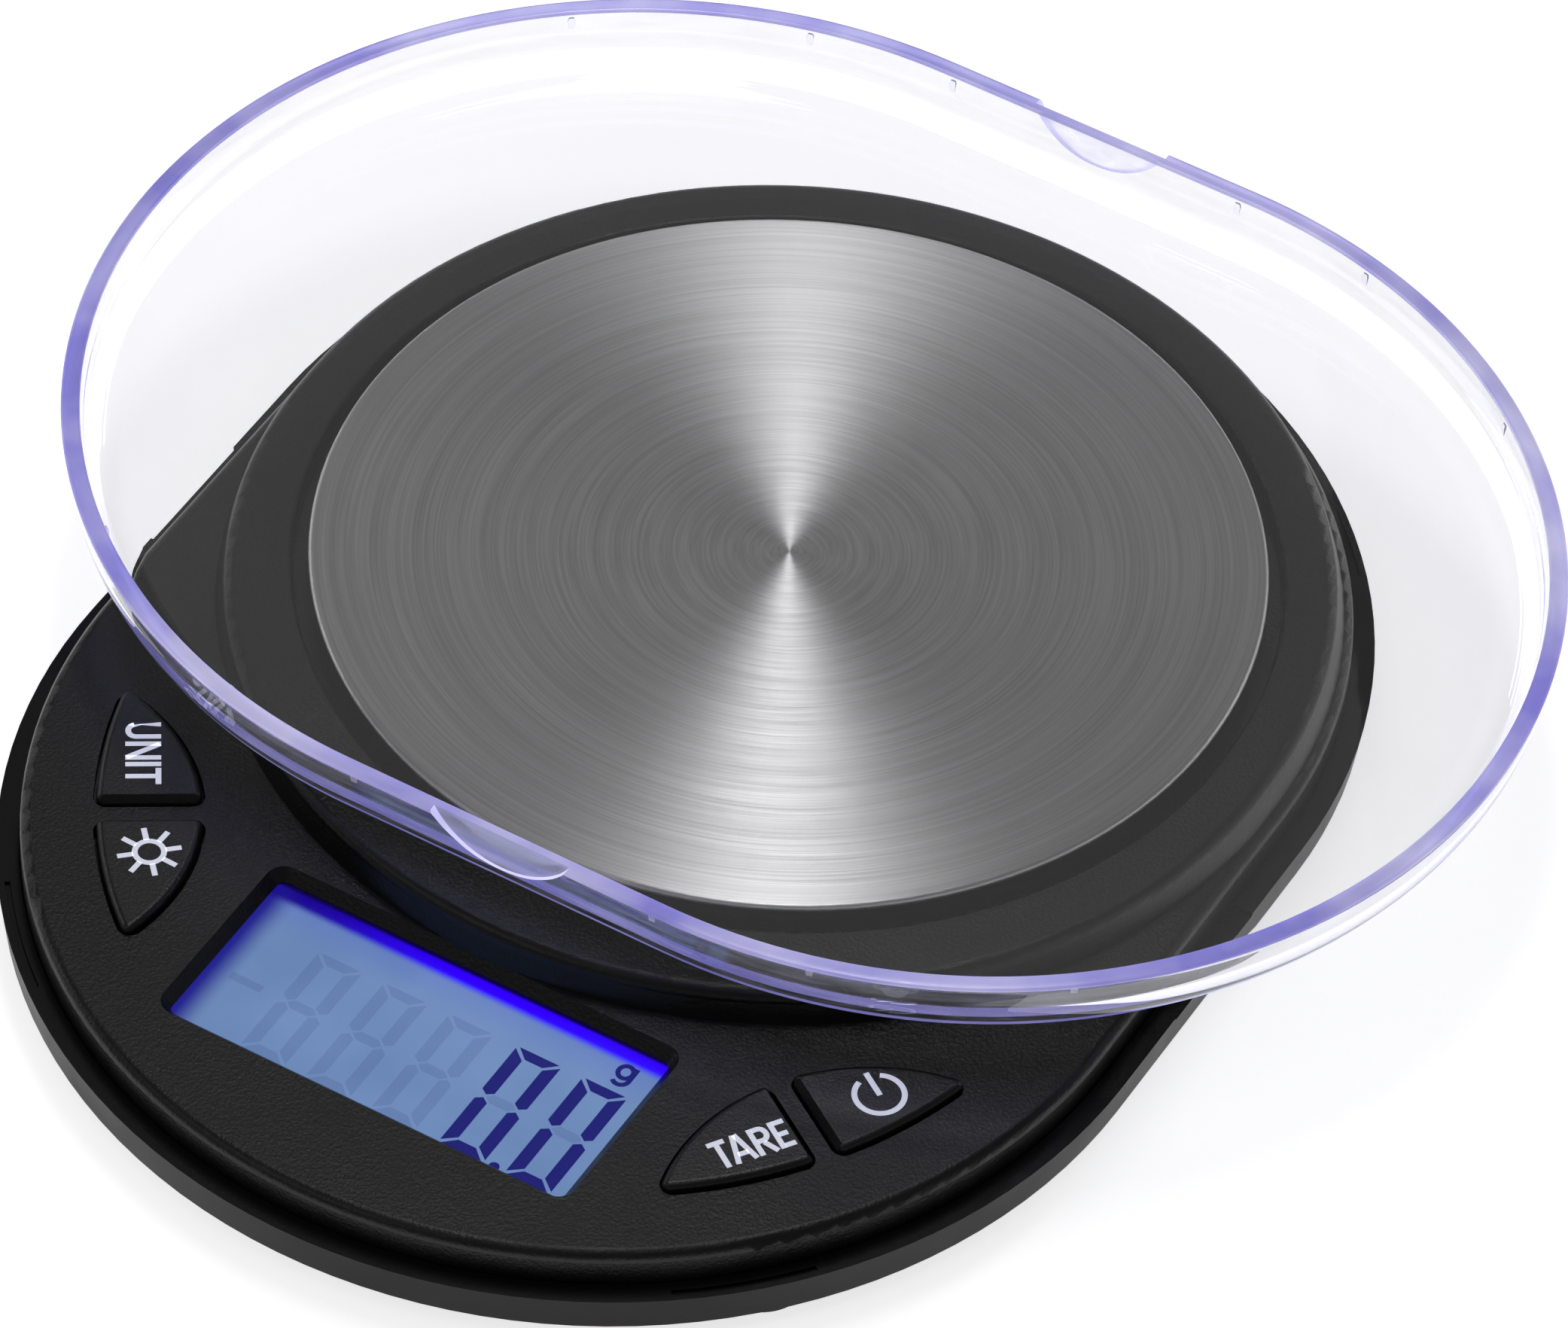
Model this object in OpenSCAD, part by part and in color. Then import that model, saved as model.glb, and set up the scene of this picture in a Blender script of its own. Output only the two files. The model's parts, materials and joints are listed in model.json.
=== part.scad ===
// Pocket gram scale with a clear cover that turns over and stands on the pan as a bowl.
// X points to the user's right, Y away from the user, Z up.
// The origin is the centre of the footprint, on the table.

/* [Body] */
// Radius of each round end of the housing, at its ledge
body_r = 52.5; // [50:0.5:56]
// Distance between the centres of the two round ends
end_gap = 31.8; // [28:0.1:36]
// Height of the underside above the table
base_z = 1.0; // [0.8:0.1:1.2]
// Height of the ledge that carries the cover's rim
ledge_z = 5.4; // [5.2:0.1:5.6]
// Height of the control panel
panel_z = 8.9; // [8.7:0.1:9.1]
// Height of the raised ring around the pan
ring_z = 11.95; // [11.8:0.05:12.1]
// Width of the ledge outside the upper housing
ledge_w = 2.1; // [1.8:0.1:2.4]
// Thickness of the moulded walls
wall = 1.5; // [1.4:0.1:1.6]

/* [Pan] */
// Diameter of the steel weighing pan
pan_d = 85; // [80:0.5:85]
// Height of the pan's face above the table
pan_z = 13.3; // [13.2:0.1:13.6]
// Thickness of the steel
pan_t = 0.8; // [0.6:0.1:0.8]
// Outer radius of the raised ring, at its shoulder
ring_r = 48.9; // [48.6:0.1:49.1]
// Width of the open gap between pan and ring
pan_gap = 1.4; // [1.2:0.1:1.6]

/* [Cover] */
// Depth of the cover from rim to floor, outside
cover_h = 8.1; // [7:0.1:9]
// Wall thickness of the cover
cover_t = 1.7; // [1.5:0.1:1.8]
// How far the cover reaches past the ledge
cover_over = 0.25; // [0.1:0.05:0.5]
// Radius of the outer corner between wall and floor
cover_corner = 5.4; // [4.5:0.1:5.8]
// How far behind the pan's centre the cover stands
cover_shift = 3.3; // [0:0.1:3.5]

/* [Display] */
// Width of the display window
window_w = 39.4; // [38:0.1:40]
// Depth of the display window, front to back
window_d = 18.0; // [17:0.1:18]
// Centre of the window in front of the housing's centre
window_front = 45.6; // [45.4:0.1:46]

/* [Keys] */
// Radius of the outer edge of each pair of keys
leaf_r = 44.0; // [43.5:0.1:44.2]
// Radius of the inner edge of each pair of keys
leaf_bulge_r = 19.1; // [18.5:0.1:19.5]
// Distance of the inner edge's centre from the round end's centre
leaf_bulge_at = 53.8; // [53.5:0.1:54]
// Angle of each pair of keys below the X axis
leaf_angle = 33.2; // [32:0.1:34]
// How far behind the round end's centre the pairs of keys are centred
leaf_shift = 0.4; // [0:0.1:0.6]
// Width of the bar between the two keys of a pair
key_bar = 1.6; // [1.2:0.1:1.8]
// Height of a key's face above the panel
key_proud = 0.8; // [0.7:0.1:1.0]

/* [Hidden] */

$fn = 128;
eps = 0.01;
half_gap = end_gap / 2;
cover_r = body_r + cover_over;
pan_r = pan_d / 2;

// The footprint of housing and cover together is centred on the origin
body_y = (body_r - cover_shift - cover_r) / 2;
front_y = body_y - half_gap;
pan_y = body_y + half_gap;
cover_y = pan_y + cover_shift;
window_y = body_y - window_front;

// Housing
skin_r = body_r - ledge_w;
base_floor_t = 1.4;
floor_z = base_z + base_floor_t;
skirt_z = 3.0;
joint_clear = 0.1;
base_draft = 0.4;
base_edge = 0.8;
panel_edge_r = 1.0;
ring_gap = 2.2;
ring_edge_r = 1.1;
ring_foot = 0.6;
ring_t = 1.4;
ring_lip_r = 0.4;
well_r = pan_r + pan_gap;
well_z = 9.6;
well_t = 1.4;
panel_t = 1.2;
under_z = panel_z - panel_t;

// Pan and carrier
adhesive_t = 0.2;
adhesive_r = 38;
carrier_r = 42;
carrier_t = 1.3;
carrier_top = pan_z - pan_t - adhesive_t;
carrier_z = carrier_top - carrier_t;
press_travel = 0.6;
stop_clear = 0.1;
stop_at = 37;
stop_r = 1.6;
window_in_tape_r = 8;

// Load cell, a beam along X under the pan
cell_l = 47;
cell_w = 12;
cell_h = 6;
cell_z = floor_z + 1.2;
cell_end_x = 18.5;
cell_seat_l = 10;
cell_hole_y = 3;
web_x = 5.5;
web_hole_r = 2.1;
web_slot_h = 1.2;
cell_screw_r = 1.2;
cell_head_r = 2.2;
cell_head_t = 1.2;
cell_screw_l = 6.2;
carrier_screw_l = 5.4;
carrier_foot_l = 9.5;
thread_fit = 0.05;
hole_fit = 0.2;
slot_clear = 1.5;
slot_corner_r = 2;
gauge_l = 4.4;
gauge_w = 3.2;
gauge_t = 0.12;
sealant_l = 7;
sealant_w = 6;
sealant_t = 0.5;

// Battery bay
coin_r = 10;
coin_h = 3.2;
coin_x = 11.5;
bay_y = body_y - 4.2;
bay_l = 2 * (coin_x + coin_r) + 1.4;
bay_w = 2 * coin_r + 2;
bay_wall = 1.2;
bay_roof_z = 7.5;
bay_roof_t = 1.0;
door_t = 1.2;
door_clear = 0.35;
door_rim = 1.0;
door_l = bay_l + 2 * door_rim - 2 * door_clear;
door_w = bay_w + 2 * door_rim - 2 * door_clear;
coin_z = base_z + door_t + 0.3;
strip_t = 0.25;
spring_z = bay_roof_z - bay_roof_t - strip_t;
spring_l = 12;
spring_w = 8;
spring_tail = 2.6;
spring_tail_w = 3;
link_l = 28;
link_h = 2.2;
link_gap = bay_w / 2 - strip_t - coin_r - 0.05;

// Circuit board and display stack
board_z = 3.5;
board_t = 1.0;
board_r = 46.2;
board_rear = 20.5;
board_top = board_z + board_t;
lens_t = 0.7;
lens_margin = 2.6;
glass_t = 1.0;
guide_t = 1.5;
glass_w = window_w + 3.6;
glass_d = window_d + 3.6;
glass_ledge = 1.6;
stack_low = under_z - lens_t - glass_t;
holder_wall = 1.0;
holder_clear = 0.1;
window_bevel = 0.9;
window_corner = 0.8;
led_at = 12;

// Keys
leaf_y = front_y + leaf_shift;
key_clear = 0.3;
key_round = 0.9;
key_bevel = 0.9;
key_flange = 0.8;
key_flange_t = 0.7;
key_top = panel_z + key_proud;
key_flange_top = under_z - 0.1;
key_low = key_flange_top - key_flange_t;
mat_t = 0.4;
dome_rim = 0.9;
dome_r = 2.6;
dome_top_r = 1.5;
dome_at = 6.2;
dome_out = 40.6;

// Screws and feet
case_screw_r = 0.9;
case_head_r = 1.9;
case_head_t = 1.1;
case_head_z = base_z + case_head_t + 0.4;
rib_h = 2;
rib_l = 34;
rib_x = 33;
rib_y = [14, 24];
cross_rib_l = 40;
label_w = 44;
label_d = 16;
label_t = 0.15;
label_at = 26;
label_corner_r = 1;
case_boss_r = 2.4;
boss_step = 0.6;
case_boss_z = 4.4;
pilot_bite = 0.05;
case_screw_l = 5.0;
latch_at = 6;
latch_l = 5;
grip_pitch = 1.2;
grip_w = 9;
notch_w = 14;
notch_d = 4;
notch_h = 0.7;
cover_lean = 0.4;
snap_w = 0.8;
snap_h = 2.2;
snap_drop = 2.6;
scallop_r = 7.8;
scallop_up = 3.9;
scallop_deep = 0.8;
recess_l = 13.6;
recess_deep = 0.4;
pocket_deep = 0.3;
pocket_w = 0.5;
pocket_angle = 14;
wire_r = 0.4;
wire_sides = 10;
wire_steps = 14;
foot_r = 4.5;
foot_edge = 0.3;
foot_seat = 0.5;
foot_at = 46.55;
foot_angle = 41.6;
board_post_r = 1.9;
board_screw_r = 0.7;
board_head_r = 1.4;
board_head_t = 0.7;
chip_x = -13;
chip_front = 27.4;
chip_r = 4.6;
chip_t = 1.3;
chip_crown_r = 9;

case_screw_at = [
    [15, front_y - 44.5], [-15, front_y - 44.5],
    [20, pan_y + 41], [-20, pan_y + 41]
];
board_screw_at = [[25.5, body_y - 25.5], [-25.5, body_y - 25.5], [0, front_y - 43.9]];
foot_dx = foot_at * cos(foot_angle);
foot_dy = foot_at * sin(foot_angle);

// A profile in radius and height, carried round an outline with two round ends along Y
module oblong(gap) {
    translate([0, gap / 2, 0]) rotate_extrude(angle = 180) children();
    translate([0, -gap / 2, 0]) rotate([0, 0, 180]) rotate_extrude(angle = 180) children();
    rotate([90, 0, 0]) linear_extrude(gap, center = true) {
        children();
        mirror([1, 0]) children();
    }
}

// A flat plate with two round ends along Y
module oblong_plate(r, gap, h) {
    linear_extrude(h) {
        translate([0, gap / 2]) circle(r);
        translate([0, -gap / 2]) circle(r);
        square([2 * r, gap], center = true);
    }
}

module rounded_rect(w, d, r) {
    square([w - 2 * r, d], center = true);
    square([w, d - 2 * r], center = true);
    for (x = [-1, 1], y = [-1, 1]) translate([x * (w / 2 - r), y * (d / 2 - r)]) circle(r, $fn = 32);
}

module block(w, d, h) {
    translate([-w / 2, -d / 2, 0]) cube([w, d, h]);
}

// A screw that points up, with its head's underside at z = 0
module screw_up(r, l, head_r, head_t) {
    cylinder(r = r, h = l, $fn = 32);
    difference() {
        translate([0, 0, -head_t]) cylinder(r = head_r, h = head_t, $fn = 48);
        for (a = [0, 90]) rotate([0, 0, a]) translate([0, 0, -head_t - eps])
            block(head_r * 1.3, head_r * 0.28, head_t * 0.55);
    }
}

// The outline of one pair of keys, grown by a margin
module leaf(margin) {
    translate([0, leaf_y]) rotate(-leaf_angle) intersection() {
        circle(leaf_r + margin);
        translate([leaf_bulge_at, 0]) circle(leaf_bulge_r + margin);
    }
}

// The half-plane on one side of the bar between two keys: side 1 is towards the pan
module leaf_side(side) {
    reach = 60;
    low = key_bar / 2 + key_clear;
    translate([0, leaf_y]) rotate(-leaf_angle)
        translate([0, side > 0 ? low : -low - reach]) square([reach, reach]);
}

// One key's outline with rounded tips, grown by a margin
module key_outline(side, margin) {
    offset(key_round + margin) offset(-key_round) intersection() {
        leaf(0);
        leaf_side(side);
    }
}

// One key on the right-hand side: flange, shaft and bevelled cap
module key(side) {
    shaft_top = key_top - key_bevel;
    low = key_bar / 2 + key_clear;
    translate([0, 0, key_low]) linear_extrude(key_flange_t) intersection() {
        leaf(key_flange);
        leaf_side(side);
    }
    translate([0, 0, key_low]) linear_extrude(shaft_top - key_low) key_outline(side, 0);
    intersection() {
        translate([0, 0, shaft_top]) linear_extrude(key_bevel) key_outline(side, 0);
        translate([0, leaf_y, shaft_top]) rotate([0, 0, -leaf_angle]) intersection() {
            cylinder(r1 = leaf_r, r2 = leaf_r - key_bevel, h = key_bevel);
            translate([leaf_bulge_at, 0, 0])
                cylinder(r1 = leaf_bulge_r, r2 = leaf_bulge_r - key_bevel, h = key_bevel);
            rotate([90, 0, 90]) linear_extrude(leaf_r) polygon([
                [side * low, 0], [side * leaf_r, 0], [side * leaf_r, key_bevel],
                [side * (low + key_bevel / 2), key_bevel]
            ]);
        }
    }
}

// The silicone spring under one key on the right-hand side
module dome(side) {
    translate([0, leaf_y, board_top]) rotate([0, 0, -leaf_angle]) translate([dome_out, side * dome_at, 0]) {
        cylinder(r = dome_r + dome_rim, h = mat_t, $fn = 48);
        translate([0, 0, mat_t])
            cylinder(r1 = dome_r, r2 = dome_top_r, h = key_low - board_top - mat_t, $fn = 48);
    }
}

// A cubic curve from the first of four points to the last
function curve_at(p, t) = pow(1 - t, 3) * p[0] + 3 * t * pow(1 - t, 2) * p[1]
    + 3 * t * t * (1 - t) * p[2] + pow(t, 3) * p[3];
function curve_way(p, t) = 3 * pow(1 - t, 2) * (p[1] - p[0]) + 6 * t * (1 - t) * (p[2] - p[1])
    + 3 * t * t * (p[3] - p[2]);

// A round wire along that curve
module wire(p) {
    points = [
        for (i = [0 : wire_steps]) let (
            t = i / wire_steps,
            way = curve_way(p, t),
            side = cross(way, [0, 0, 1]) / norm(cross(way, [0, 0, 1])),
            up = cross(side, way) / norm(way)
        ) for (k = [0 : wire_sides - 1])
            curve_at(p, t) + wire_r * (cos(360 * k / wire_sides) * side + sin(360 * k / wire_sides) * up)
    ];
    ends = [
        [for (k = [wire_sides - 1 : -1 : 0]) k],
        [for (k = [0 : wire_sides - 1]) wire_steps * wire_sides + k]
    ];
    sides = [
        for (i = [0 : wire_steps - 1], k = [0 : wire_sides - 1]) let (
            a = i * wire_sides + k,
            b = i * wire_sides + (k + 1) % wire_sides
        ) each [[a, b, a + wire_sides], [b, b + wire_sides, a + wire_sides]]
    ];
    polyhedron(points, concat(ends, sides));
}

module lower_housing_blank() {
    translate([0, body_y, 0]) oblong(end_gap) polygon([
        [0, base_z], [body_r - base_draft - base_edge, base_z],
        [body_r - base_draft, base_z + base_edge], [body_r, ledge_z],
        [skin_r + joint_clear, ledge_z], [skin_r + joint_clear, floor_z], [0, floor_z]
    ]);
    intersection() {
        translate([0, body_y, 0]) oblong_plate(skin_r - wall - 0.2, end_gap, bay_roof_z + 1);
        union() {
            // Battery bay
            translate([0, bay_y, base_z])
                block(bay_l + 2 * bay_wall, bay_w + 2 * bay_wall, bay_roof_z - base_z);
            // Seat of the load cell's fixed end
            translate([-cell_end_x, pan_y, floor_z - eps])
                block(cell_seat_l, cell_w, cell_z - floor_z + eps);
            // Bosses of the screws that hold the housing together
            for (p = case_screw_at) translate([p.x, p.y, floor_z - eps])
                cylinder(r = case_boss_r + boss_step, h = case_boss_z - floor_z + eps, $fn = 48);
            // Stiffening ribs
            for (x = [-1, 1]) translate([x * rib_x, pan_y, floor_z - eps]) block(wall, rib_l, rib_h);
            for (y = rib_y) translate([0, pan_y + y, floor_z - eps]) block(cross_rib_l, wall, rib_h);
        }
    }
}

module lower_housing() color([0.10, 0.10, 0.105]) difference() {
    lower_housing_blank();
    // Battery bay and the rebate for its door
    translate([0, bay_y, base_z - eps]) {
        block(bay_l, bay_w, bay_roof_z - bay_roof_t - base_z + eps);
        block(bay_l + 2 * door_rim, bay_w + 2 * door_rim, door_t + eps);
    }
    // Finger notch in front of the door's latch
    translate([0, bay_y - bay_w / 2 - door_rim - notch_d / 4, base_z - eps])
        block(notch_w, notch_d, notch_h);
    // Slots for the battery springs' tails
    for (x = [-1, 1]) translate([x * coin_x, bay_y - (bay_w + bay_wall) / 2, spring_z - 0.1])
        block(spring_tail_w + 2 * hole_fit, bay_wall * 3, strip_t + 0.1);
    for (p = case_screw_at) translate([p.x, p.y, 0]) {
        cylinder(r = case_screw_r + hole_fit, h = case_boss_z + 1, $fn = 32);
        cylinder(r = case_head_r + 1.5 * hole_fit, h = case_head_z, $fn = 48);
    }
    for (y = [-1, 1]) translate([-cell_end_x, pan_y + y * cell_hole_y, 0]) {
        cylinder(r = cell_screw_r + hole_fit, h = cell_z + 1, $fn = 32);
        cylinder(r = cell_head_r + hole_fit, h = floor_z, $fn = 48);
    }
    for (x = [-1, 1], y = [-1, 1]) translate([x * foot_dx, body_y + y * (half_gap + foot_dy), 0])
        cylinder(r = foot_r + 0.1, h = base_z + foot_seat, $fn = 64);
    // Shallow seat for the rating label
    translate([0, pan_y + label_at, base_z - eps]) linear_extrude(label_t + eps)
        rounded_rect(label_w + 2 * hole_fit, label_d + 2 * hole_fit, label_corner_r + hole_fit);
    // Thumb recesses in the ledge at the waist
    for (x = [-1, 1]) translate([x * body_r, body_y, ledge_z - recess_deep])
        block(2 * (ledge_w - 0.2), recess_l, 2 * recess_deep);
    // Pockets in the ledge for the cover's snap ribs
    for (y = [-1, 1], x = [0, 1]) mirror([x, 0, 0])
        translate([0, body_y + y * half_gap, ledge_z - pocket_deep])
            rotate([0, 0, y * 45 - pocket_angle / 2]) rotate_extrude(angle = pocket_angle)
                translate([body_r - cover_t / 2 - pocket_w / 2, 0]) square([pocket_w, 1]);
}

module ring_profile() {
    translate([0, under_z]) square([ring_r - ring_edge_r, ring_z - under_z]);
    translate([ring_r - ring_edge_r, ring_z - ring_edge_r]) circle(ring_edge_r, $fn = 64);
    polygon([
        [0, under_z], [ring_r + ring_foot, under_z], [ring_r + ring_foot, panel_z],
        [ring_r, ring_z - ring_edge_r], [0, ring_z - ring_edge_r]
    ]);
}

module panel_profile() {
    difference() {
        union() {
            square([skin_r - panel_edge_r, panel_z]);
            square([skin_r, panel_z - panel_edge_r]);
            translate([skin_r - panel_edge_r, panel_z - panel_edge_r]) circle(panel_edge_r, $fn = 64);
        }
        translate([-1, -1]) square([skin_r - wall + 1, under_z + 1]);
        translate([-1, -1]) square([skin_r + 2, skirt_z + 1]);
    }
}

module upper_shell() difference() {
    union() {
        difference() {
            union() {
                translate([0, body_y, 0]) oblong(end_gap) panel_profile();
                intersection() {
                    translate([0, pan_y - ring_gap / 2, 0]) oblong(ring_gap) ring_profile();
                    translate([0, body_y, 0]) oblong_plate(skin_r, end_gap, ring_z + 1);
                }
            }
            // Everything inside the ring, down through the panel
            translate([0, pan_y - ring_gap / 2, under_z - 1])
                oblong_plate(ring_r - ring_t, ring_gap, ring_z - ring_t - under_z + 1);
        }
        // Well under the pan
        translate([0, pan_y, well_z - well_t])
            cylinder(r = well_r + wall, h = ring_z - well_z + well_t - ring_lip_r);
        for (p = case_screw_at) translate([p.x, p.y, case_boss_z]) {
            roof = p.y > pan_y ? ring_z - ring_t : under_z;
            cylinder(r = case_boss_r, h = roof + 0.2 - case_boss_z, $fn = 48);
        }
        for (p = board_screw_at) translate([p.x, p.y, board_top])
            cylinder(r = board_post_r, h = under_z + 0.2 - board_top, $fn = 48);
    }
    translate([0, pan_y, well_z]) cylinder(r = well_r, h = ring_z);
    // Rounded inner lip of the ring
    translate([0, pan_y, ring_z - ring_lip_r]) rotate_extrude() difference() {
        square([well_r + ring_lip_r, 1]);
        translate([well_r + ring_lip_r, 0]) circle(ring_lip_r, $fn = 48);
    }
    // Display window with its bevelled frame
    translate([0, window_y, 0]) {
        translate([0, 0, under_z - 1]) linear_extrude(wall + 2)
            rounded_rect(window_w, window_d, window_corner);
        hull() {
            translate([0, 0, under_z + 0.1]) linear_extrude(eps)
                rounded_rect(window_w, window_d, window_corner);
            translate([0, 0, panel_z]) linear_extrude(eps) rounded_rect(
                window_w + 2 * window_bevel, window_d + 2 * window_bevel, window_corner + window_bevel
            );
        }
    }
    for (x = [0, 1]) mirror([x, 0, 0]) for (side = [-1, 1])
        translate([0, 0, under_z - 1]) linear_extrude(wall + 2) key_outline(side, key_clear);
    // Opening for the load cell and the carrier's foot
    translate([0, pan_y, well_z - well_t - 1])
        linear_extrude(well_t + 2)
            rounded_rect(cell_l + 2 * slot_clear, cell_w + 2 * slot_clear, slot_corner_r);
    for (p = case_screw_at) translate([p.x, p.y, case_head_z])
        cylinder(r = case_screw_r - pilot_bite, h = case_screw_l + 0.4, $fn = 32);
    for (p = board_screw_at) translate([p.x, p.y, board_top - 1])
        cylinder(r = board_screw_r - pilot_bite, h = 3.2, $fn = 32);
}

module upper_housing() color([0.055, 0.055, 0.06]) {
    upper_shell();
    // Stops under the carrier, against overload
    for (a = [45 : 90 : 315]) translate([0, pan_y, well_z - eps]) rotate([0, 0, a])
        translate([stop_at, 0, 0])
            cylinder(r = stop_r, h = carrier_z - press_travel - stop_clear - well_z + eps, $fn = 32);
}

// The cover is drawn as it stands on the pan, open side up
module cover_profile() {
    lean = cover_lean;
    top = pan_z + cover_h;
    in_r = cover_corner - cover_t;
    difference() {
        union() {
            translate([0, pan_z]) square([cover_r - lean - cover_corner, cover_h]);
            translate([cover_r - lean - cover_corner, pan_z + cover_corner]) intersection() {
                circle(cover_corner);
                translate([0, -cover_corner]) square(cover_corner);
            }
            polygon([
                [0, pan_z + cover_corner], [cover_r - lean, pan_z + cover_corner], [cover_r, top], [0, top]
            ]);
        }
        translate([-1, pan_z + cover_t]) square([cover_r - lean - cover_corner + 1, cover_h]);
        translate([cover_r - lean - cover_corner, pan_z + cover_corner]) intersection() {
            circle(in_r);
            translate([0, -in_r]) square(in_r);
        }
        polygon([
            [-1, pan_z + cover_corner], [cover_r - lean - cover_t, pan_z + cover_corner],
            [cover_r - cover_t, top + eps], [-1, top + eps]
        ]);
    }
}

module snap_rib() {
    translate([cover_r - cover_t - 0.1, 0, pan_z + cover_h - snap_drop]) block(snap_w, snap_w, snap_h);
}

module cover_body() {
    oblong(end_gap) cover_profile();
    // Snap ribs inside the rim
    for (y = [-1, 1], x = [-1, 1]) {
        for (a = [15, 40]) translate([0, y * half_gap, 0])
            rotate([0, 0, y * (90 - x * (90 - a))]) snap_rib();
        translate([0, y * (half_gap - 1), 0]) rotate([0, 0, 90 - x * 90]) snap_rib();
    }
}

module clear_cover() color([0.80, 0.80, 0.97, 0.35])
    translate([0, cover_y, 0]) rotate([0, 0, 90]) difference() {
        cover_body();
        // Thumb scallops outside the long walls
        for (x = [0, 1]) mirror([x, 0, 0])
            translate([cover_r - scallop_deep, 0, pan_z + cover_h + scallop_up])
                rotate([0, 90, 0]) cylinder(r = scallop_r, h = 4);
    }

module weighing_pan() color([0.62, 0.62, 0.64]) translate([0, pan_y, pan_z - pan_t]) rotate_extrude() {
    square([pan_r - pan_t / 2, pan_t]);
    translate([pan_r - pan_t / 2, pan_t / 2]) circle(pan_t / 2, $fn = 48);
}

module pan_adhesive() color([0.85, 0.84, 0.80]) translate([0, pan_y, carrier_top])
    difference() {
        cylinder(r = adhesive_r, h = adhesive_t);
        translate([cell_end_x, 0, -1]) cylinder(r = window_in_tape_r, h = 2);
    }

module pan_carrier() color([0.07, 0.07, 0.075]) translate([0, pan_y, 0]) difference() {
    union() {
        translate([0, 0, carrier_z]) cylinder(r = carrier_r, h = carrier_t);
        // Foot on the loaded end of the beam
        translate([cell_end_x, 0, cell_z + cell_h])
            block(carrier_foot_l, cell_w - 0.6, carrier_z - cell_z - cell_h + eps);
    }
    for (y = [-1, 1]) translate([cell_end_x, y * cell_hole_y, cell_z]) {
        cylinder(r = cell_screw_r + hole_fit, h = carrier_top, $fn = 32);
        translate([0, 0, carrier_top - cell_z - cell_head_t - 0.05])
            cylinder(r = cell_head_r + hole_fit, h = cell_head_t + 1, $fn = 48);
    }
}

module carrier_screws() color([0.70, 0.70, 0.72]) for (y = [-1, 1])
    translate([cell_end_x, pan_y + y * cell_hole_y, carrier_top - cell_head_t - 0.05])
        rotate([180, 0, 0]) screw_up(cell_screw_r, carrier_screw_l, cell_head_r, cell_head_t);

module load_cell() color([0.80, 0.81, 0.83]) translate([0, pan_y, cell_z]) difference() {
    block(cell_l, cell_w, cell_h);
    for (x = [-1, 1]) translate([x * web_x, 0, cell_h / 2]) rotate([90, 0, 0])
        cylinder(r = web_hole_r, h = cell_w + 2, center = true, $fn = 48);
    translate([0, 0, (cell_h - web_slot_h) / 2]) block(2 * web_x, cell_w + 2, web_slot_h);
    for (x = [-1, 1], y = [-1, 1]) translate([x * cell_end_x, y * cell_hole_y, -1])
        cylinder(r = cell_screw_r + thread_fit, h = cell_h + 2, $fn = 32);
}

module strain_gauges() color([0.80, 0.55, 0.25]) for (x = [-1, 1], top = [0, 1])
    translate([x * web_x, pan_y, top > 0 ? cell_z + cell_h : cell_z - gauge_t])
        block(gauge_l, gauge_w, gauge_t);

module gauge_sealant() color([0.86, 0.86, 0.84]) for (x = [-1, 1])
    translate([x * web_x, pan_y, cell_z + cell_h]) difference() {
        block(sealant_l, sealant_w, sealant_t);
        translate([0, 0, -eps]) block(gauge_l, gauge_w, gauge_t + eps);
    }

module load_cell_screws() color([0.70, 0.70, 0.72]) for (y = [-1, 1])
    translate([-cell_end_x, pan_y + y * cell_hole_y, floor_z])
        screw_up(cell_screw_r, cell_screw_l, cell_head_r, cell_head_t);

module display_lens() color([0.75, 0.80, 0.90, 0.4])
    translate([0, window_y, under_z - lens_t]) linear_extrude(lens_t)
        rounded_rect(window_w + 2 * lens_margin, window_d + 2 * lens_margin, 1);

module lcd_glass() color([0.44, 0.55, 0.72]) translate([0, window_y, stack_low]) {
    block(glass_w, glass_d, glass_t / 2);
    translate([0, -glass_ledge / 2, glass_t / 2]) block(glass_w, glass_d - glass_ledge, glass_t / 2);
}

module backlight_guide() color([0.75, 0.80, 1.0])
    translate([0, window_y - 1.2, stack_low - guide_t]) block(glass_w - 0.6, glass_d - 3, guide_t);

module backlight_leds() color([0.35, 0.30, 1.0]) for (x = [-led_at, 0, led_at])
    translate([x, window_y + glass_d / 2 - 2.0, board_top]) block(3, 1.1, 0.9);

module zebra_strip() color([0.20, 0.20, 0.22])
    translate([0, window_y + glass_d / 2 - 0.75, board_top])
        block(glass_w - 4, 1.1, stack_low - board_top);

module lcd_holder() color([0.90, 0.90, 0.88]) translate([0, window_y, board_top]) difference() {
    in_w = glass_w + 2 * holder_clear;
    in_d = glass_d + 2 * holder_clear;
    h = under_z - lens_t - board_top;
    block(in_w + 2 * holder_wall, in_d + 2 * holder_wall, h);
    translate([0, 0, -1]) block(in_w, in_d, h + 2);
}

module board_outline() {
    difference() {
        translate([0, front_y]) circle(board_r);
        translate([-60, body_y - board_rear]) square([120, 80]);
        for (p = case_screw_at) translate([p.x, p.y]) circle(case_boss_r + 0.9, $fn = 48);
        for (p = board_screw_at) translate([p.x, p.y]) circle(board_screw_r + 0.15, $fn = 32);
    }
}

module main_board() color([0.08, 0.33, 0.16])
    translate([0, 0, board_z]) linear_extrude(board_t) board_outline();

module chip_cover() color([0.03, 0.03, 0.035])
    translate([chip_x, body_y - chip_front, board_top]) intersection() {
        cylinder(r = chip_r, h = chip_t, $fn = 64);
        translate([0, 0, chip_t - chip_crown_r]) sphere(chip_crown_r, $fn = 96);
    }

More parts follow.
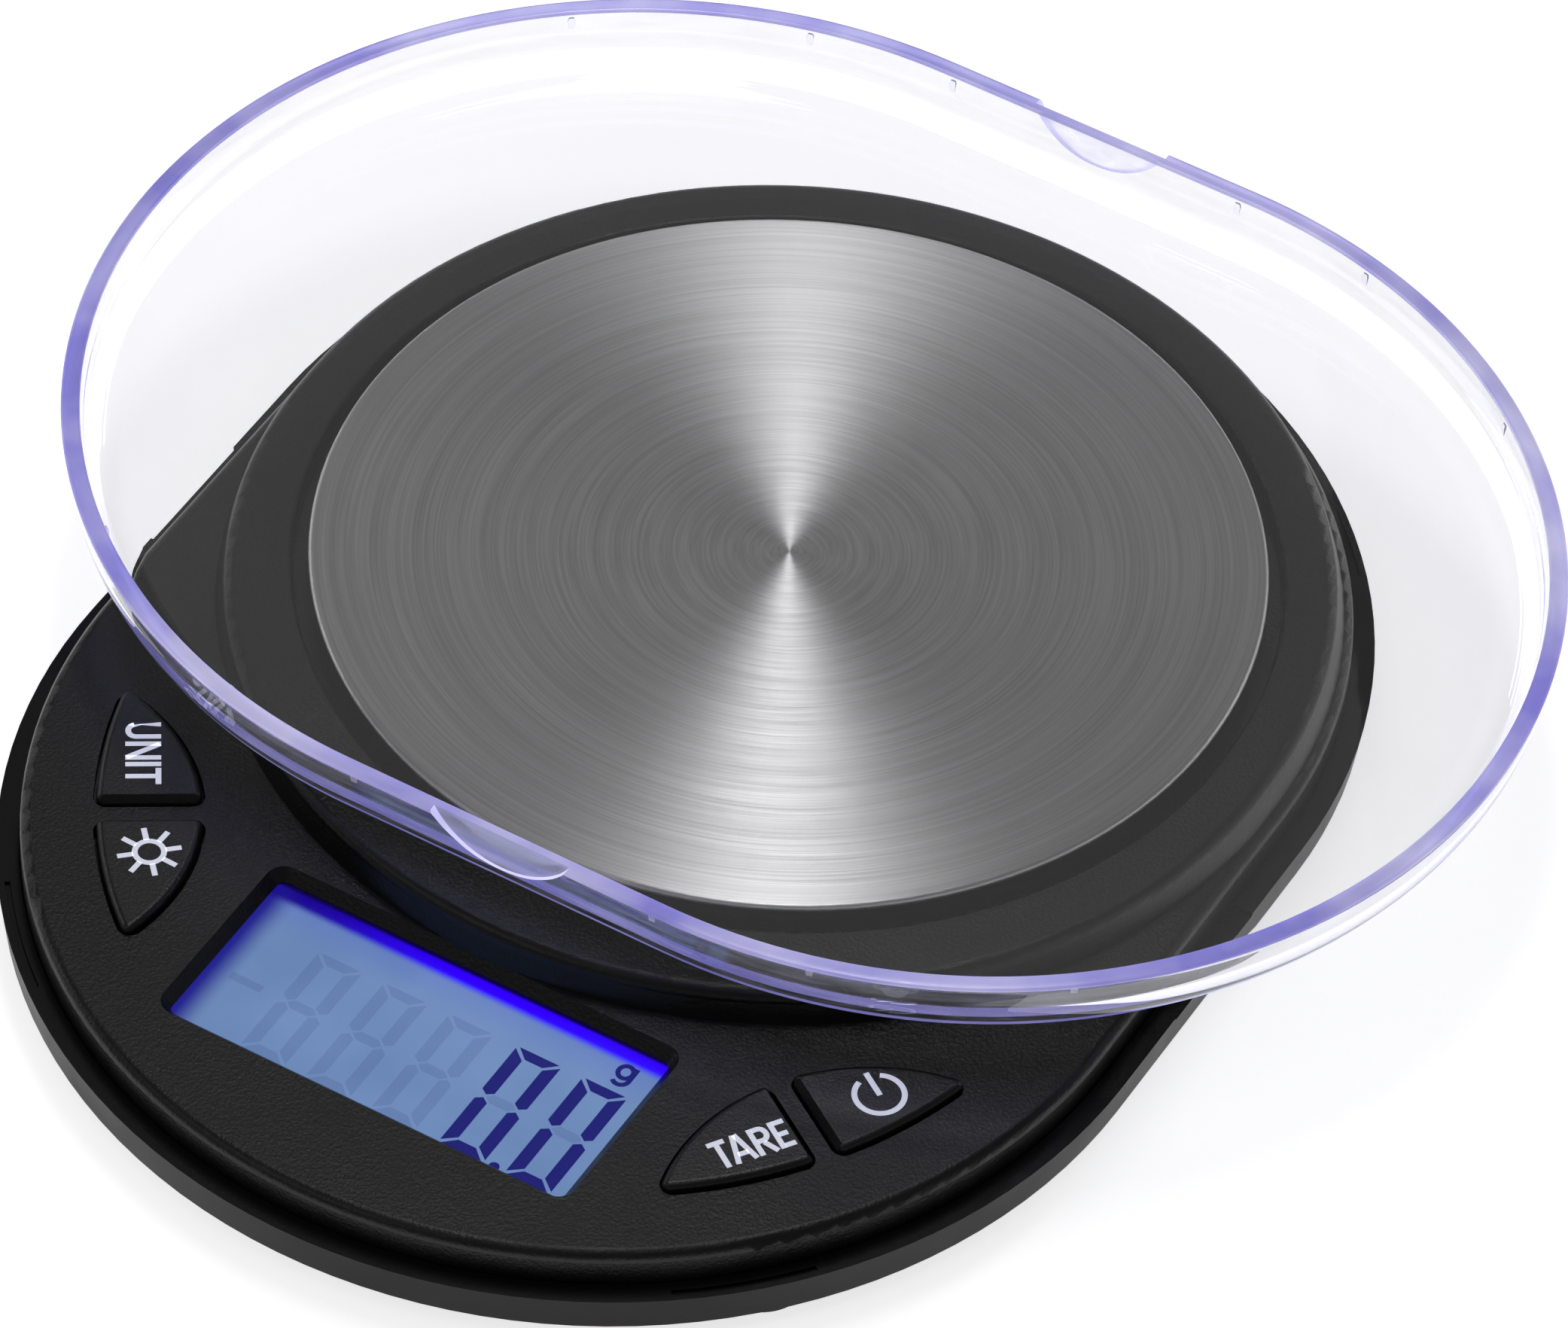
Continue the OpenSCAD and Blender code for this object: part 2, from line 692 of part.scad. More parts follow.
module board_capacitors() color([0.72, 0.60, 0.42]) for (i = [0 : 4])
    translate([-4 + 2.6 * i, body_y - 25.4, board_top]) block(1.2, 2.0, 0.8);

module board_crystal() color([0.78, 0.78, 0.80]) translate([11.5, body_y - 29.6, board_top + 1])
    rotate([0, 90, 0]) cylinder(r = 1, h = 6, $fn = 32);

module board_screws() color([0.65, 0.65, 0.67]) for (p = board_screw_at)
    translate([p.x, p.y, board_z]) screw_up(board_screw_r, 2.9, board_head_r, board_head_t);

module unit_key() color([0.05, 0.05, 0.055]) mirror([1, 0, 0]) key(1);
module light_key() color([0.05, 0.05, 0.055]) mirror([1, 0, 0]) key(-1);
module power_key() color([0.05, 0.05, 0.055]) key(1);
module tare_key() color([0.05, 0.05, 0.055]) key(-1);
module unit_dome() color([0.30, 0.30, 0.32]) mirror([1, 0, 0]) dome(1);
module light_dome() color([0.30, 0.30, 0.32]) mirror([1, 0, 0]) dome(-1);
module power_dome() color([0.30, 0.30, 0.32]) dome(1);
module tare_dome() color([0.30, 0.30, 0.32]) dome(-1);

module battery_door() color([0.09, 0.09, 0.095]) translate([0, bay_y, base_z]) difference() {
    union() {
        block(door_l, door_w, door_t);
        for (x = [-1, 1]) translate([x * coin_x, 0, door_t - eps]) block(12, 1, 0.3);
    }
    // Latch tongue and its grip
    for (x = [-1, 1]) translate([x * latch_at, (latch_l - door_w) / 2, -1])
        block(0.7, latch_l + eps, door_t + 3);
    for (y = [1 : 4]) translate([0, grip_pitch * y - door_w / 2, -eps]) block(grip_w, grip_pitch / 2, 0.3);
}

module coin_cell() {
    cylinder(r = coin_r, h = coin_h - 0.5);
    translate([0, 0, coin_h - 0.5 - eps]) cylinder(r = coin_r - 0.9, h = 0.5 + eps);
}
module coin_cell_left() color([0.75, 0.75, 0.77]) translate([-coin_x, bay_y, coin_z]) coin_cell();
module coin_cell_right() color([0.75, 0.75, 0.77]) translate([coin_x, bay_y, coin_z]) coin_cell();

// Leaf spring above one cell, with a tail through the bay's front wall
module battery_spring() {
    tail_end = bay_w / 2 + spring_tail;
    tail_start = spring_l / 2 - 1;
    translate([0, 0, spring_z]) block(spring_w, spring_l, strip_t);
    translate([0, -(tail_end + tail_start) / 2, spring_z])
        block(spring_tail_w, tail_end - tail_start, strip_t);
    translate([0, 0, coin_z + coin_h]) cylinder(r1 = 1.2, r2 = 3, h = spring_z - coin_z - coin_h, $fn = 48);
}
module battery_spring_left() color([0.80, 0.78, 0.70]) translate([-coin_x, bay_y, 0]) battery_spring();
module battery_spring_right() color([0.80, 0.78, 0.70]) translate([coin_x, bay_y, 0]) battery_spring();

// Strip that joins the two cells' cans at the rear of the bay
module battery_link() color([0.80, 0.78, 0.70]) translate([0, bay_y + bay_w / 2 - strip_t, coin_z + 0.2]) {
    block(link_l, strip_t, link_h);
    for (x = [-1, 1]) translate([x * coin_x, -link_gap / 2, 0]) block(link_h, link_gap, link_h);
}

module sensor_wire(i) {
    y = pan_y - 3.6 + 2.4 * i;
    lane = 28.6 + 1.4 * i;
    wire([
        [-cell_l / 2 - eps, y, cell_z + cell_h / 2], [-lane - 1.5, y, cell_z + cell_h / 2],
        [-lane, y - 18, board_top + wire_r + 1.6], [-lane, body_y - 23.2, board_top + wire_r + eps]
    ]);
}
module sensor_wire_red() color([0.75, 0.08, 0.06]) sensor_wire(0);
module sensor_wire_black() color([0.05, 0.05, 0.05]) sensor_wire(1);
module sensor_wire_green() color([0.10, 0.45, 0.15]) sensor_wire(2);
module sensor_wire_white() color([0.90, 0.90, 0.88]) sensor_wire(3);

module battery_wire(x) {
    start_y = bay_y - bay_w / 2 - spring_tail - eps;
    wire([
        [x, start_y, spring_z + strip_t / 2], [x, start_y - 1.2, spring_z + strip_t / 2],
        [x, start_y - 1.6, board_top + wire_r + eps], [x, start_y - 4, board_top + wire_r + eps]
    ]);
}
module battery_wire_red() color([0.75, 0.08, 0.06]) battery_wire(coin_x);
module battery_wire_black() color([0.05, 0.05, 0.05]) battery_wire(-coin_x);

module case_screws() color([0.30, 0.30, 0.31]) for (p = case_screw_at)
    translate([p.x, p.y, case_head_z]) screw_up(case_screw_r, case_screw_l, case_head_r, case_head_t);

module foot(x, y) {
    translate([x * foot_dx, body_y + y * (half_gap + foot_dy), 0]) {
        cylinder(r1 = foot_r - foot_edge, r2 = foot_r, h = foot_edge, $fn = 64);
        translate([0, 0, foot_edge - eps])
            cylinder(r = foot_r, h = base_z + foot_seat - foot_edge, $fn = 64);
    }
}
module foot_front_left() color([0.03, 0.03, 0.03]) foot(-1, -1);
module foot_front_right() color([0.03, 0.03, 0.03]) foot(1, -1);
module foot_rear_left() color([0.03, 0.03, 0.03]) foot(-1, 1);
module foot_rear_right() color([0.03, 0.03, 0.03]) foot(1, 1);

module rating_label() color([0.75, 0.76, 0.78])
    translate([0, pan_y + label_at, base_z]) linear_extrude(label_t)
        rounded_rect(label_w, label_d, label_corner_r);

lower_housing();
upper_housing();
clear_cover();
weighing_pan();
pan_adhesive();
pan_carrier();
carrier_screws();
load_cell();
strain_gauges();
gauge_sealant();
load_cell_screws();
display_lens();
lcd_glass();
lcd_holder();
zebra_strip();
backlight_guide();
backlight_leds();
main_board();
chip_cover();
board_capacitors();
board_crystal();
board_screws();
unit_key();
light_key();
tare_key();
power_key();
unit_dome();
light_dome();
tare_dome();
power_dome();
battery_door();
coin_cell_left();
coin_cell_right();
battery_spring_left();
battery_spring_right();
battery_link();
sensor_wire_red();
sensor_wire_black();
sensor_wire_green();
sensor_wire_white();
battery_wire_red();
battery_wire_black();
case_screws();
foot_front_left();
foot_front_right();
foot_rear_left();
foot_rear_right();
rating_label();
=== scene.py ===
"""Looks of the digital gram scale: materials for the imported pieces, and finer meshes for
its clear cover, keys and display. Lengths in the tables below are millimetres."""
import json
import math

import bmesh
import bpy
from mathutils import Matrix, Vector


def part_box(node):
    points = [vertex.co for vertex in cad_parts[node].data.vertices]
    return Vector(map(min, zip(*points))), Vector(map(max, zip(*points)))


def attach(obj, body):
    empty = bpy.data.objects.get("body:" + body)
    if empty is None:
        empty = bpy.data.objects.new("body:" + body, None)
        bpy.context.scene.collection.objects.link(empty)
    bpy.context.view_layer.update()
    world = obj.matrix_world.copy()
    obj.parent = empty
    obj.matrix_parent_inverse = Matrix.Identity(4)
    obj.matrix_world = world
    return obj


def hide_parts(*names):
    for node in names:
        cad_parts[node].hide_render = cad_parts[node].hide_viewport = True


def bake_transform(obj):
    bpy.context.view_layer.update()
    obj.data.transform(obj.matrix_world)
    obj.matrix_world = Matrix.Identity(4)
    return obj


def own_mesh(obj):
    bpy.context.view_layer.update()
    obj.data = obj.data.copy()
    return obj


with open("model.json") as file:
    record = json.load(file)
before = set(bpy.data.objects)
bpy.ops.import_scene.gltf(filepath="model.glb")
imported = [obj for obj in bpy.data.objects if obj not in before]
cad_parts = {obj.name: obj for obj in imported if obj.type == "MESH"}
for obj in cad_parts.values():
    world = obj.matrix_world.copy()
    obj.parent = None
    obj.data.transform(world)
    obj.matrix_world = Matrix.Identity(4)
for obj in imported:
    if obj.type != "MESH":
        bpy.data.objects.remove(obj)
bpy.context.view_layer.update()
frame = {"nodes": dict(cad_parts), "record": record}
scene = bpy.context.scene

MM = 0.001
COVER_IOR = 1.58
pan_low, pan_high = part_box("weighing_pan")
cover_low, cover_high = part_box("clear_cover")
lens_low, lens_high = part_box("display_lens")
glass_low, glass_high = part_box("lcd_glass")
key_low, key_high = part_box("power_key")

PAN_X = (pan_low.x + pan_high.x) / 2
PAN_Y = (pan_low.y + pan_high.y) / 2
PAN_Z = pan_high.z


# ---------------------------------------------------------------- material nodes

class Paint:
    """A node material under construction."""

    def __init__(self, name):
        self.material = bpy.data.materials.new(name)
        self.material.use_nodes = True
        self.tree = self.material.node_tree
        self.tree.nodes.clear()
        self.output = self.add("ShaderNodeOutputMaterial")
        self.place = self.add("ShaderNodeTexCoord").outputs["Object"]

    def add(self, kind, inputs=None, **settings):
        node = self.tree.nodes.new(kind)
        for key, value in settings.items():
            setattr(node, key, value)
        for key, value in (inputs or {}).items():
            if isinstance(value, bpy.types.NodeSocket):
                self.tree.links.new(value, node.inputs[key])
            else:
                node.inputs[key].default_value = value
        return node

    def noise(self, size, detail=3.0, rough=0.55, vector=None):
        """Cloudy noise with features of that size in millimetres."""
        node = self.add("ShaderNodeTexNoise", {
            "Vector": vector or self.place, "Scale": 1 / (size * MM), "Detail": detail,
            "Roughness": rough})
        return node.outputs["Fac"]

    def cells(self, size):
        """Rounded cells of that size in millimetres."""
        node = self.add("ShaderNodeTexVoronoi", {
            "Vector": self.place, "Scale": 1 / (size * MM), "Smoothness": 0.6},
            feature="SMOOTH_F1")
        return node.outputs["Distance"]

    def spread(self, value, low, high, start=0.3, end=0.7, kind="LINEAR"):
        """value from start to end becomes low to high."""
        node = self.add("ShaderNodeMapRange", {
            "Value": value, "From Min": start, "From Max": end, "To Min": low, "To Max": high},
            interpolation_type=kind)
        return node.outputs["Result"]

    def math(self, operation, a, b=0.0, c=0.0):
        node = self.add("ShaderNodeMath", {0: a, 1: b, 2: c}, operation=operation)
        return node.outputs[0]

    def blend(self, factor, a, b):
        """Colour a where factor is 0, colour b where it is 1."""
        node = self.add("ShaderNodeMix", {0: factor}, data_type="RGBA")
        for socket, value in ((node.inputs[6], a), (node.inputs[7], b)):
            if isinstance(value, bpy.types.NodeSocket):
                self.tree.links.new(value, socket)
            else:
                socket.default_value = (*value[:3], 1.0)
        return node.outputs[2]

    def bump(self, height, depth):
        """Relief of that depth in millimetres."""
        inputs = {"Height": height, "Distance": depth * MM, "Strength": 1.0}
        return self.add("ShaderNodeBump", inputs).outputs["Normal"]

    def surface(self, shader):
        """The finished material."""
        self.tree.links.new(shader, self.output.inputs["Surface"])
        return self.material

    def principled(self, **inputs):
        """A surface shader; the input names have underscores for spaces."""
        named = {key.replace("_", " "): value for key, value in inputs.items()}
        return self.add("ShaderNodeBsdfPrincipled", named).outputs[0]


def rgb(red, green, blue):
    """Screen colour 0 to 255 as linear values."""
    return tuple(
        c / 255 / 12.92 if c <= 10 else ((c / 255 + 0.055) / 1.055) ** 2.4
        for c in (red, green, blue))


def rgba(colour):
    return (*colour[:3], 1.0)


def shades(paint, colour, size, amount):
    """A colour with soft lighter and darker patches of that size."""
    dark = tuple(c * (1 - amount) for c in colour)
    light = tuple(min(1.0, c * (1 + amount)) for c in colour)
    return paint.blend(paint.spread(paint.noise(size), 0.0, 1.0), dark, light)


def grained(name, colour, rough, grain, depth, gloss=0.5):
    """Moulded plastic or rubber with a spark-eroded grain, worn in patches."""
    patch = 9.0
    p = Paint(name)
    height = p.math("MULTIPLY_ADD", p.cells(grain), 0.7, p.noise(grain * 0.6, 4.0, 0.6))
    worn = p.noise(patch, 2.0)
    return p.surface(p.principled(
        Base_Color=shades(p, colour, grain * 2.5, 0.15),
        Roughness=p.spread(worn, rough - 0.04, rough + 0.05),
        IOR=1.5, Specular_IOR_Level=gloss, Normal=p.bump(height, depth)))


def smooth_plastic(name, colour, rough, amount=0.08, ripple=0.006, **more):
    """Plain glossy or satin plastic with faint flow marks."""
    p = Paint(name)
    return p.surface(p.principled(
        Base_Color=shades(p, colour, 2.2, amount),
        Roughness=p.spread(p.noise(1.2, 4.0), rough - 0.05, rough + 0.06),
        Normal=p.bump(p.noise(0.7, 2.0), ripple), **more))


def metal(name, colour, rough, size=0.35, amount=0.1, ripple=0.004):
    """Plated or drawn metal with a fine uneven lustre."""
    p = Paint(name)
    return p.surface(p.principled(
        Base_Color=shades(p, colour, size * 3, amount), Metallic=1.0,
        Roughness=p.spread(p.noise(size, 4.0), rough - 0.06, rough + 0.08),
        Normal=p.bump(p.noise(size, 3.0), ripple)))


def milled(name, colour, rough, along):
    """Milled metal: fine lines along one axis."""
    p = Paint(name)
    stretch = [9.0, 9.0, 9.0]
    stretch[along] = 0.25
    lines = p.add("ShaderNodeMapping", {"Vector": p.place, "Scale": stretch}).outputs[0]
    streak = p.noise(1.6, 3.0, 0.6, vector=lines)
    return p.surface(p.principled(
        Base_Color=p.blend(p.spread(streak, 0.0, 1.0), [c * 0.85 for c in colour], colour),
        Metallic=1.0, Roughness=p.spread(streak, rough - 0.06, rough + 0.08),
        Normal=p.bump(streak, 0.004)))


def brushed_steel():
    """Circular brushing about the pan's axis: arcs of fine scratches, in three widths."""
    p = Paint("steel_circular_brush")
    arm = p.add("ShaderNodeVectorMath", {0: p.place, 1: (PAN_X, PAN_Y, PAN_Z)},
                operation="SUBTRACT").outputs["Vector"]
    flat = p.add("ShaderNodeVectorMath", {0: arm, 1: (1.0, 1.0, 0.0)},
                 operation="MULTIPLY").outputs["Vector"]
    radius = p.add("ShaderNodeVectorMath", {0: flat}, operation="LENGTH").outputs["Value"]
    way = p.add("ShaderNodeVectorMath", {0: flat}, operation="NORMALIZE").outputs["Vector"]
    split = p.add("ShaderNodeSeparateXYZ", {0: way})

    def arcs(width, turns, detail):
        """Scratches of that width in millimetres, longer where turns is lower."""
        vector = p.add("ShaderNodeCombineXYZ", {
            0: p.math("MULTIPLY", radius, 1 / (width * MM)),
            1: p.math("MULTIPLY", split.outputs[0], turns),
            2: p.math("MULTIPLY", split.outputs[1], turns)}).outputs[0]
        return p.add("ShaderNodeTexNoise", {
            "Vector": vector, "Scale": 1.0, "Detail": detail, "Roughness": 0.65}).outputs["Fac"]

    fine = arcs(0.14, 1.6, 1.0)
    middle = arcs(0.30, 1.1, 1.0)
    broad = arcs(0.9, 0.7, 1.0)
    mixed = p.math("MULTIPLY_ADD", middle, 0.38, p.math("MULTIPLY", fine, 0.46))
    mixed = p.math("MULTIPLY_ADD", broad, 0.16, mixed)
    tangent = p.add("ShaderNodeTangent", direction_type="RADIAL", axis="Z").outputs[0]
    return p.surface(p.principled(
        Base_Color=p.blend(p.spread(mixed, 0.0, 1.0, 0.38, 0.62),
                           (0.615, 0.613, 0.610), (0.755, 0.753, 0.750)),
        Metallic=1.0, Roughness=p.spread(mixed, 0.41, 0.29, 0.38, 0.62),
        Anisotropic=0.90, Anisotropic_Rotation=0.25, Tangent=tangent, Normal=p.bump(mixed, 0.0013)))


def clear(name, colour, ior, rough=0.0, ripple=0.0, glow=None):
    """Clear moulded plastic with faint flow ripples; glow, where given, is a painted streaky glow
    that stands in for the light the plastic gathers.
    """
    p = Paint(name)
    cloud = p.spread(p.noise(14.0, 1.0), 0.0, 1.0)
    more = {}
    if glow:
        # Painted light: streaks of emission in the clear plastic.
        flat = (1.0, 1.0, 7.0)
        lines = p.add("ShaderNodeMapping", {"Vector": p.place, "Scale": flat}).outputs[0]
        share = p.spread(p.noise(7.0, 3.0, 0.6, vector=lines), 0.15, 1.0, 0.38, 0.66)
        more = {"Emission_Color": p.blend(share, (0.0, 0.0, 0.0), glow), "Emission_Strength": 1.0}
    return p.surface(p.principled(
        Base_Color=p.blend(cloud, [c * 0.99 for c in colour], colour),
        Roughness=p.spread(p.noise(3.0), rough, rough + 0.015),
        IOR=ior, Transmission_Weight=1.0,
        Normal=p.bump(p.noise(6.0, 1.0), ripple), **more))


def violet_edge_painted_glow(name, low, high, glow, through, base=None, rough=0.12):
    """The edges of the tinted clear plastic: violet from low to high, the tint seen along
    the plastic, with a painted violet glow of strength glow for the light that gathers there, and
    letting the share through pass."""
    p = Paint(name)
    along = p.spread(p.noise(16.0, 3.0, 0.55), 0.0, 1.0, 0.34, 0.68)
    colour = p.blend(along, low, high)
    return p.surface(p.principled(
        Base_Color=rgba(base) if base else colour,
        Roughness=p.spread(p.noise(1.5), rough, rough + 0.15), IOR=COVER_IOR,
        Transmission_Weight=through, Emission_Color=colour, Emission_Strength=glow,
        Normal=p.bump(p.noise(2.5), 0.01)))


def display_paint(name, share, tint):
    """The lit liquid crystal: pale blue, with deep blue light leaking in at the rear
    edge and the left edge. share is how much of that light passes; tint is the ink."""
    p = Paint(name)
    split = p.add("ShaderNodeSeparateXYZ", {0: p.place})
    x, y = split.outputs[0], split.outputs[1]
    rear = glass_high.y - 0.7 * MM
    left = lens_low.x + 2.0 * MM
    band = p.spread(y, 0.0, 1.0, rear - 2.9 * MM, rear - 1.9 * MM, "SMOOTHSTEP")
    lip = p.spread(y, 0.0, 1.0, rear - 1.15 * MM, rear - 0.75 * MM, "SMOOTHSTEP")
    soft = p.spread(y, 0.0, 0.30, rear - 6.5 * MM, rear - 1.8 * MM, "SMOOTHSTEP")
    side = p.spread(x, 0.95, 0.0, left + 0.5 * MM, left + 3.2 * MM, "SMOOTHSTEP")
    bright = p.spread(x, 0.1, 1.0, left + 2.0 * MM, left + 20.0 * MM, "SMOOTHSTEP")
    cloud = p.spread(p.noise(12.0, 2.0), 0.0, 1.0, 0.35, 0.65)
    base = p.blend(cloud, rgb(106, 135, 180), rgb(116, 144, 190))
    glow = p.blend(bright, rgb(18, 0, 125), rgb(50, 0, 255))
    colour = p.blend(soft, base, rgb(84, 100, 205))
    colour = p.blend(band, colour, glow)
    colour = p.blend(side, colour, rgb(26, 14, 140))
    colour = p.blend(lip, colour, rgb(12, 2, 70))
    colour = p.blend(share, tint, colour)
    return p.surface(p.principled(
        Base_Color=rgba(rgb(6, 7, 12)), Roughness=p.spread(p.noise(0.5), 0.5, 0.6),
        Specular_IOR_Level=0.05,
        Emission_Color=colour, Emission_Strength=1.0, Normal=p.bump(p.noise(0.4), 0.002)))


HOUSING_BLACK = (0.0040, 0.0040, 0.0039)
KEY_BLACK = (0.0040, 0.0040, 0.0041)

PAINTS = {
    "black_shell": grained("black_shell_grain", HOUSING_BLACK, 0.33, 0.36, 0.032, gloss=0.38),
    "base_shell": grained("base_shell_satin", HOUSING_BLACK, 0.40, 0.30, 0.008, gloss=0.18),
    "key_plastic": grained("key_plastic_grain", KEY_BLACK, 0.31, 0.30, 0.022, gloss=0.45),
    "clear_cover": clear("clear_cover_plastic", (0.955, 0.954, 0.966), COVER_IOR, 0.0, 0.005),
    "clear_lens": clear("display_lens_plastic", (0.97, 0.98, 1.0), 1.12, 0.01, 0.003),
    "steel": brushed_steel(),
    "adhesive": smooth_plastic("adhesive_foam", (0.70, 0.69, 0.65), 0.8, 0.1, 0.03),
    "aluminium": milled("aluminium_milled", (0.78, 0.79, 0.81), 0.30, 0),
    "gauge_film": smooth_plastic("gauge_film_polyimide", (0.55, 0.27, 0.05), 0.25, 0.2),
    "sealant": smooth_plastic("sealant_silicone", (0.78, 0.78, 0.76), 0.35, 0.06, 0.03),
    "lcd": smooth_plastic("lcd_plates", (0.05, 0.07, 0.12), 0.15, 0.1),
    "light_guide": smooth_plastic("light_guide_acrylic", (0.72, 0.78, 0.98), 0.3, 0.04),
    "led": smooth_plastic("led_resin", (0.75, 0.75, 0.95), 0.2, 0.05),
    "white_plastic": smooth_plastic("holder_white_plastic", (0.74, 0.74, 0.72), 0.45, 0.05),
    "zebra_rubber": milled("zebra_layers", (0.10, 0.10, 0.11), 0.6, 1),
    "board": smooth_plastic("board_solder_mask", (0.012, 0.10, 0.035), 0.3, 0.25, 0.01),
    "chip_resin": smooth_plastic("chip_resin", (0.008, 0.008, 0.009), 0.2, 0.2, 0.05),
    "ceramic": smooth_plastic("capacitor_ceramic", (0.33, 0.20, 0.09), 0.4, 0.2, 0.01),
    "tinned_can": metal("tinned_can", (0.72, 0.72, 0.74), 0.25),
    "screw_steel": metal("screw_zinc", (0.62, 0.62, 0.64), 0.3),
    "black_screw": metal("screw_black_oxide", (0.06, 0.06, 0.062), 0.38),
    "silicone": smooth_plastic("key_mat_silicone", (0.30, 0.30, 0.32), 0.45, 0.08, 0.02,
                               Subsurface_Weight=0.25, Subsurface_Scale=0.001),
    "cell_can": metal("cell_nickel", (0.66, 0.66, 0.67), 0.22, 0.5),
    "contact": metal("contact_nickel", (0.68, 0.66, 0.60), 0.28),
    "wire_red": smooth_plastic("wire_red", (0.45, 0.012, 0.012), 0.35),
    "wire_black": smooth_plastic("wire_black", (0.012, 0.012, 0.012), 0.35, 0.2),
    "wire_green": smooth_plastic("wire_green", (0.012, 0.20, 0.035), 0.35),
    "wire_white": smooth_plastic("wire_white", (0.75, 0.75, 0.72), 0.35),
    "foot_rubber": grained("foot_rubber", (0.016, 0.016, 0.016), 0.72, 0.35, 0.02),
    "label": smooth_plastic("label_silver_film", (0.46, 0.47, 0.49), 0.35, 0.08, 0.01,
                            Metallic=0.6),
}

by_node = {row["node"]: row["material_slot"] for row in frame["record"]["subparts"]}
for node_name, piece in frame["nodes"].items():
    piece.data.materials.clear()
    piece.data.materials.append(PAINTS[by_node[node_name]])


# ---------------------------------------------------------------- mesh helpers

def build(name, verts, faces, materials, zones=None, smooth_angle=None):
    """A mesh object from points in millimetres, with outward normals."""
    mesh = bpy.data.meshes.new(name)
    mesh.from_pydata([Vector(v) * MM for v in verts], [], faces)
    for material in materials:
        mesh.materials.append(material)
    if zones:
        for polygon, zone in zip(mesh.polygons, zones):
            polygon.material_index = zone
    work = bmesh.new()
    work.from_mesh(mesh)
    bmesh.ops.remove_doubles(work, verts=work.verts, dist=1e-7)
    bmesh.ops.recalc_face_normals(work, faces=work.faces)
    work.to_mesh(mesh)
    work.free()
    obj = bpy.data.objects.new(name, mesh)
    scene.collection.objects.link(obj)
    if smooth_angle:
        smooth(obj, smooth_angle)
    return obj


def smooth(obj, angle):
    """Smooth shading, with edges sharper than angle kept crisp."""
    for polygon in obj.data.polygons:
        polygon.use_smooth = True
    obj.data.set_sharp_from_angle(angle=math.radians(angle))


def cut(obj, cutter, operation="DIFFERENCE"):
    """Applies one boolean and removes the cutter; new faces keep the cutter's material."""
    modifier = obj.modifiers.new("cut", "BOOLEAN")
    modifier.operation = operation
    modifier.solver = "EXACT"
    modifier.material_mode = "TRANSFER"
    modifier.object = cutter
    bpy.context.view_layer.update()
    shaped = bpy.data.meshes.new_from_object(
        obj.evaluated_get(bpy.context.evaluated_depsgraph_get()))
    obj.modifiers.clear()
    obj.data = shaped
    bpy.data.objects.remove(cutter)


# ---------------------------------------------------------------- clear cover

COVER_WALL = 1.7
COVER_LEAN = 0.4
COVER_CORNER = 5.4
RIM_EDGE = 0.28
FLOOR_MARGIN, FLOOR_EDGE = 9.0, 1.0
BOWL_STEPS = 18
# The foot zone, these steps of the outer corner, gets a painted violet glow.
FOOT_FROM, FOOT_TO = 7, 13
GLASS, RIM, FOOT, WALL = range(4)

cover_mid = (cover_low + cover_high) / 2 / MM
cover_reach = (cover_high.y - cover_low.y) / 2 / MM
cover_half = (cover_high.x - cover_low.x) / 2 / MM - cover_reach
cover_floor = cover_low.z / MM
cover_top = cover_high.z / MM


def cover_section():
    """The wall's section as (distance from the middle line, height, zone), from the
    underside outward and up, over the rim, and down inside to the floor."""
    turn = cover_reach - COVER_LEAN - COVER_CORNER
    bend_z = cover_floor + COVER_CORNER
    rows = [(turn - FLOOR_MARGIN, cover_floor, GLASS), (turn - FLOOR_EDGE, cover_floor, GLASS)]
    for i in range(BOWL_STEPS + 1):
        a = math.radians(-90 + 90 * i / BOWL_STEPS)
        zone = GLASS if i < FOOT_FROM else FOOT if i < FOOT_TO else WALL
        rows.append((turn + COVER_CORNER * math.cos(a), bend_z + COVER_CORNER * math.sin(a), zone))
    climb = cover_top - bend_z
    for share in (0.35, 0.7):
        rows.append((cover_reach - COVER_LEAN * (1 - share), bend_z + climb * share, WALL))
    inner = cover_reach - COVER_WALL
    for i in range(5):
        a = math.radians(90 * i / 4)
        rows.append((cover_reach - RIM_EDGE * (1 - math.cos(a)),
                     cover_top - RIM_EDGE * (1 - math.sin(a)), RIM))
    for i in range(5):
        a = math.radians(90 * i / 4)
        zone = RIM if i < 4 else WALL
        rows.append((inner + RIM_EDGE * (1 - math.sin(a)),
                     cover_top - RIM_EDGE * (1 - math.cos(a)), zone))
    for share in (0.7, 0.35):
        rows.append((inner - COVER_LEAN * (1 - share), bend_z + climb * share, WALL))
    bend = COVER_CORNER - COVER_WALL
    for i in range(BOWL_STEPS + 1):
        a = math.radians(-90 * i / BOWL_STEPS)
        rows.append((turn + bend * math.cos(a), bend_z + bend * math.sin(a), GLASS))
    inside = cover_floor + COVER_WALL
    rows += [(turn - FLOOR_EDGE, inside, GLASS), (turn - FLOOR_MARGIN, inside, GLASS)]
    return rows


def cover_track():
    """Stations round the outline: (place on the middle line, outward direction's x and y)."""
    stations = []
    arc_steps, run_steps = 96, 10
    for end in (1, -1):
        for i in range(arc_steps + 1):
            a = math.radians(-90 + 180 * i / arc_steps + (0 if end > 0 else 180))
            stations.append((end * cover_half, math.cos(a), math.sin(a)))
        for i in range(1, run_steps):
            share = 1 - 2 * i / run_steps
            stations.append((end * cover_half * share, 0.0, float(end)))
    return stations


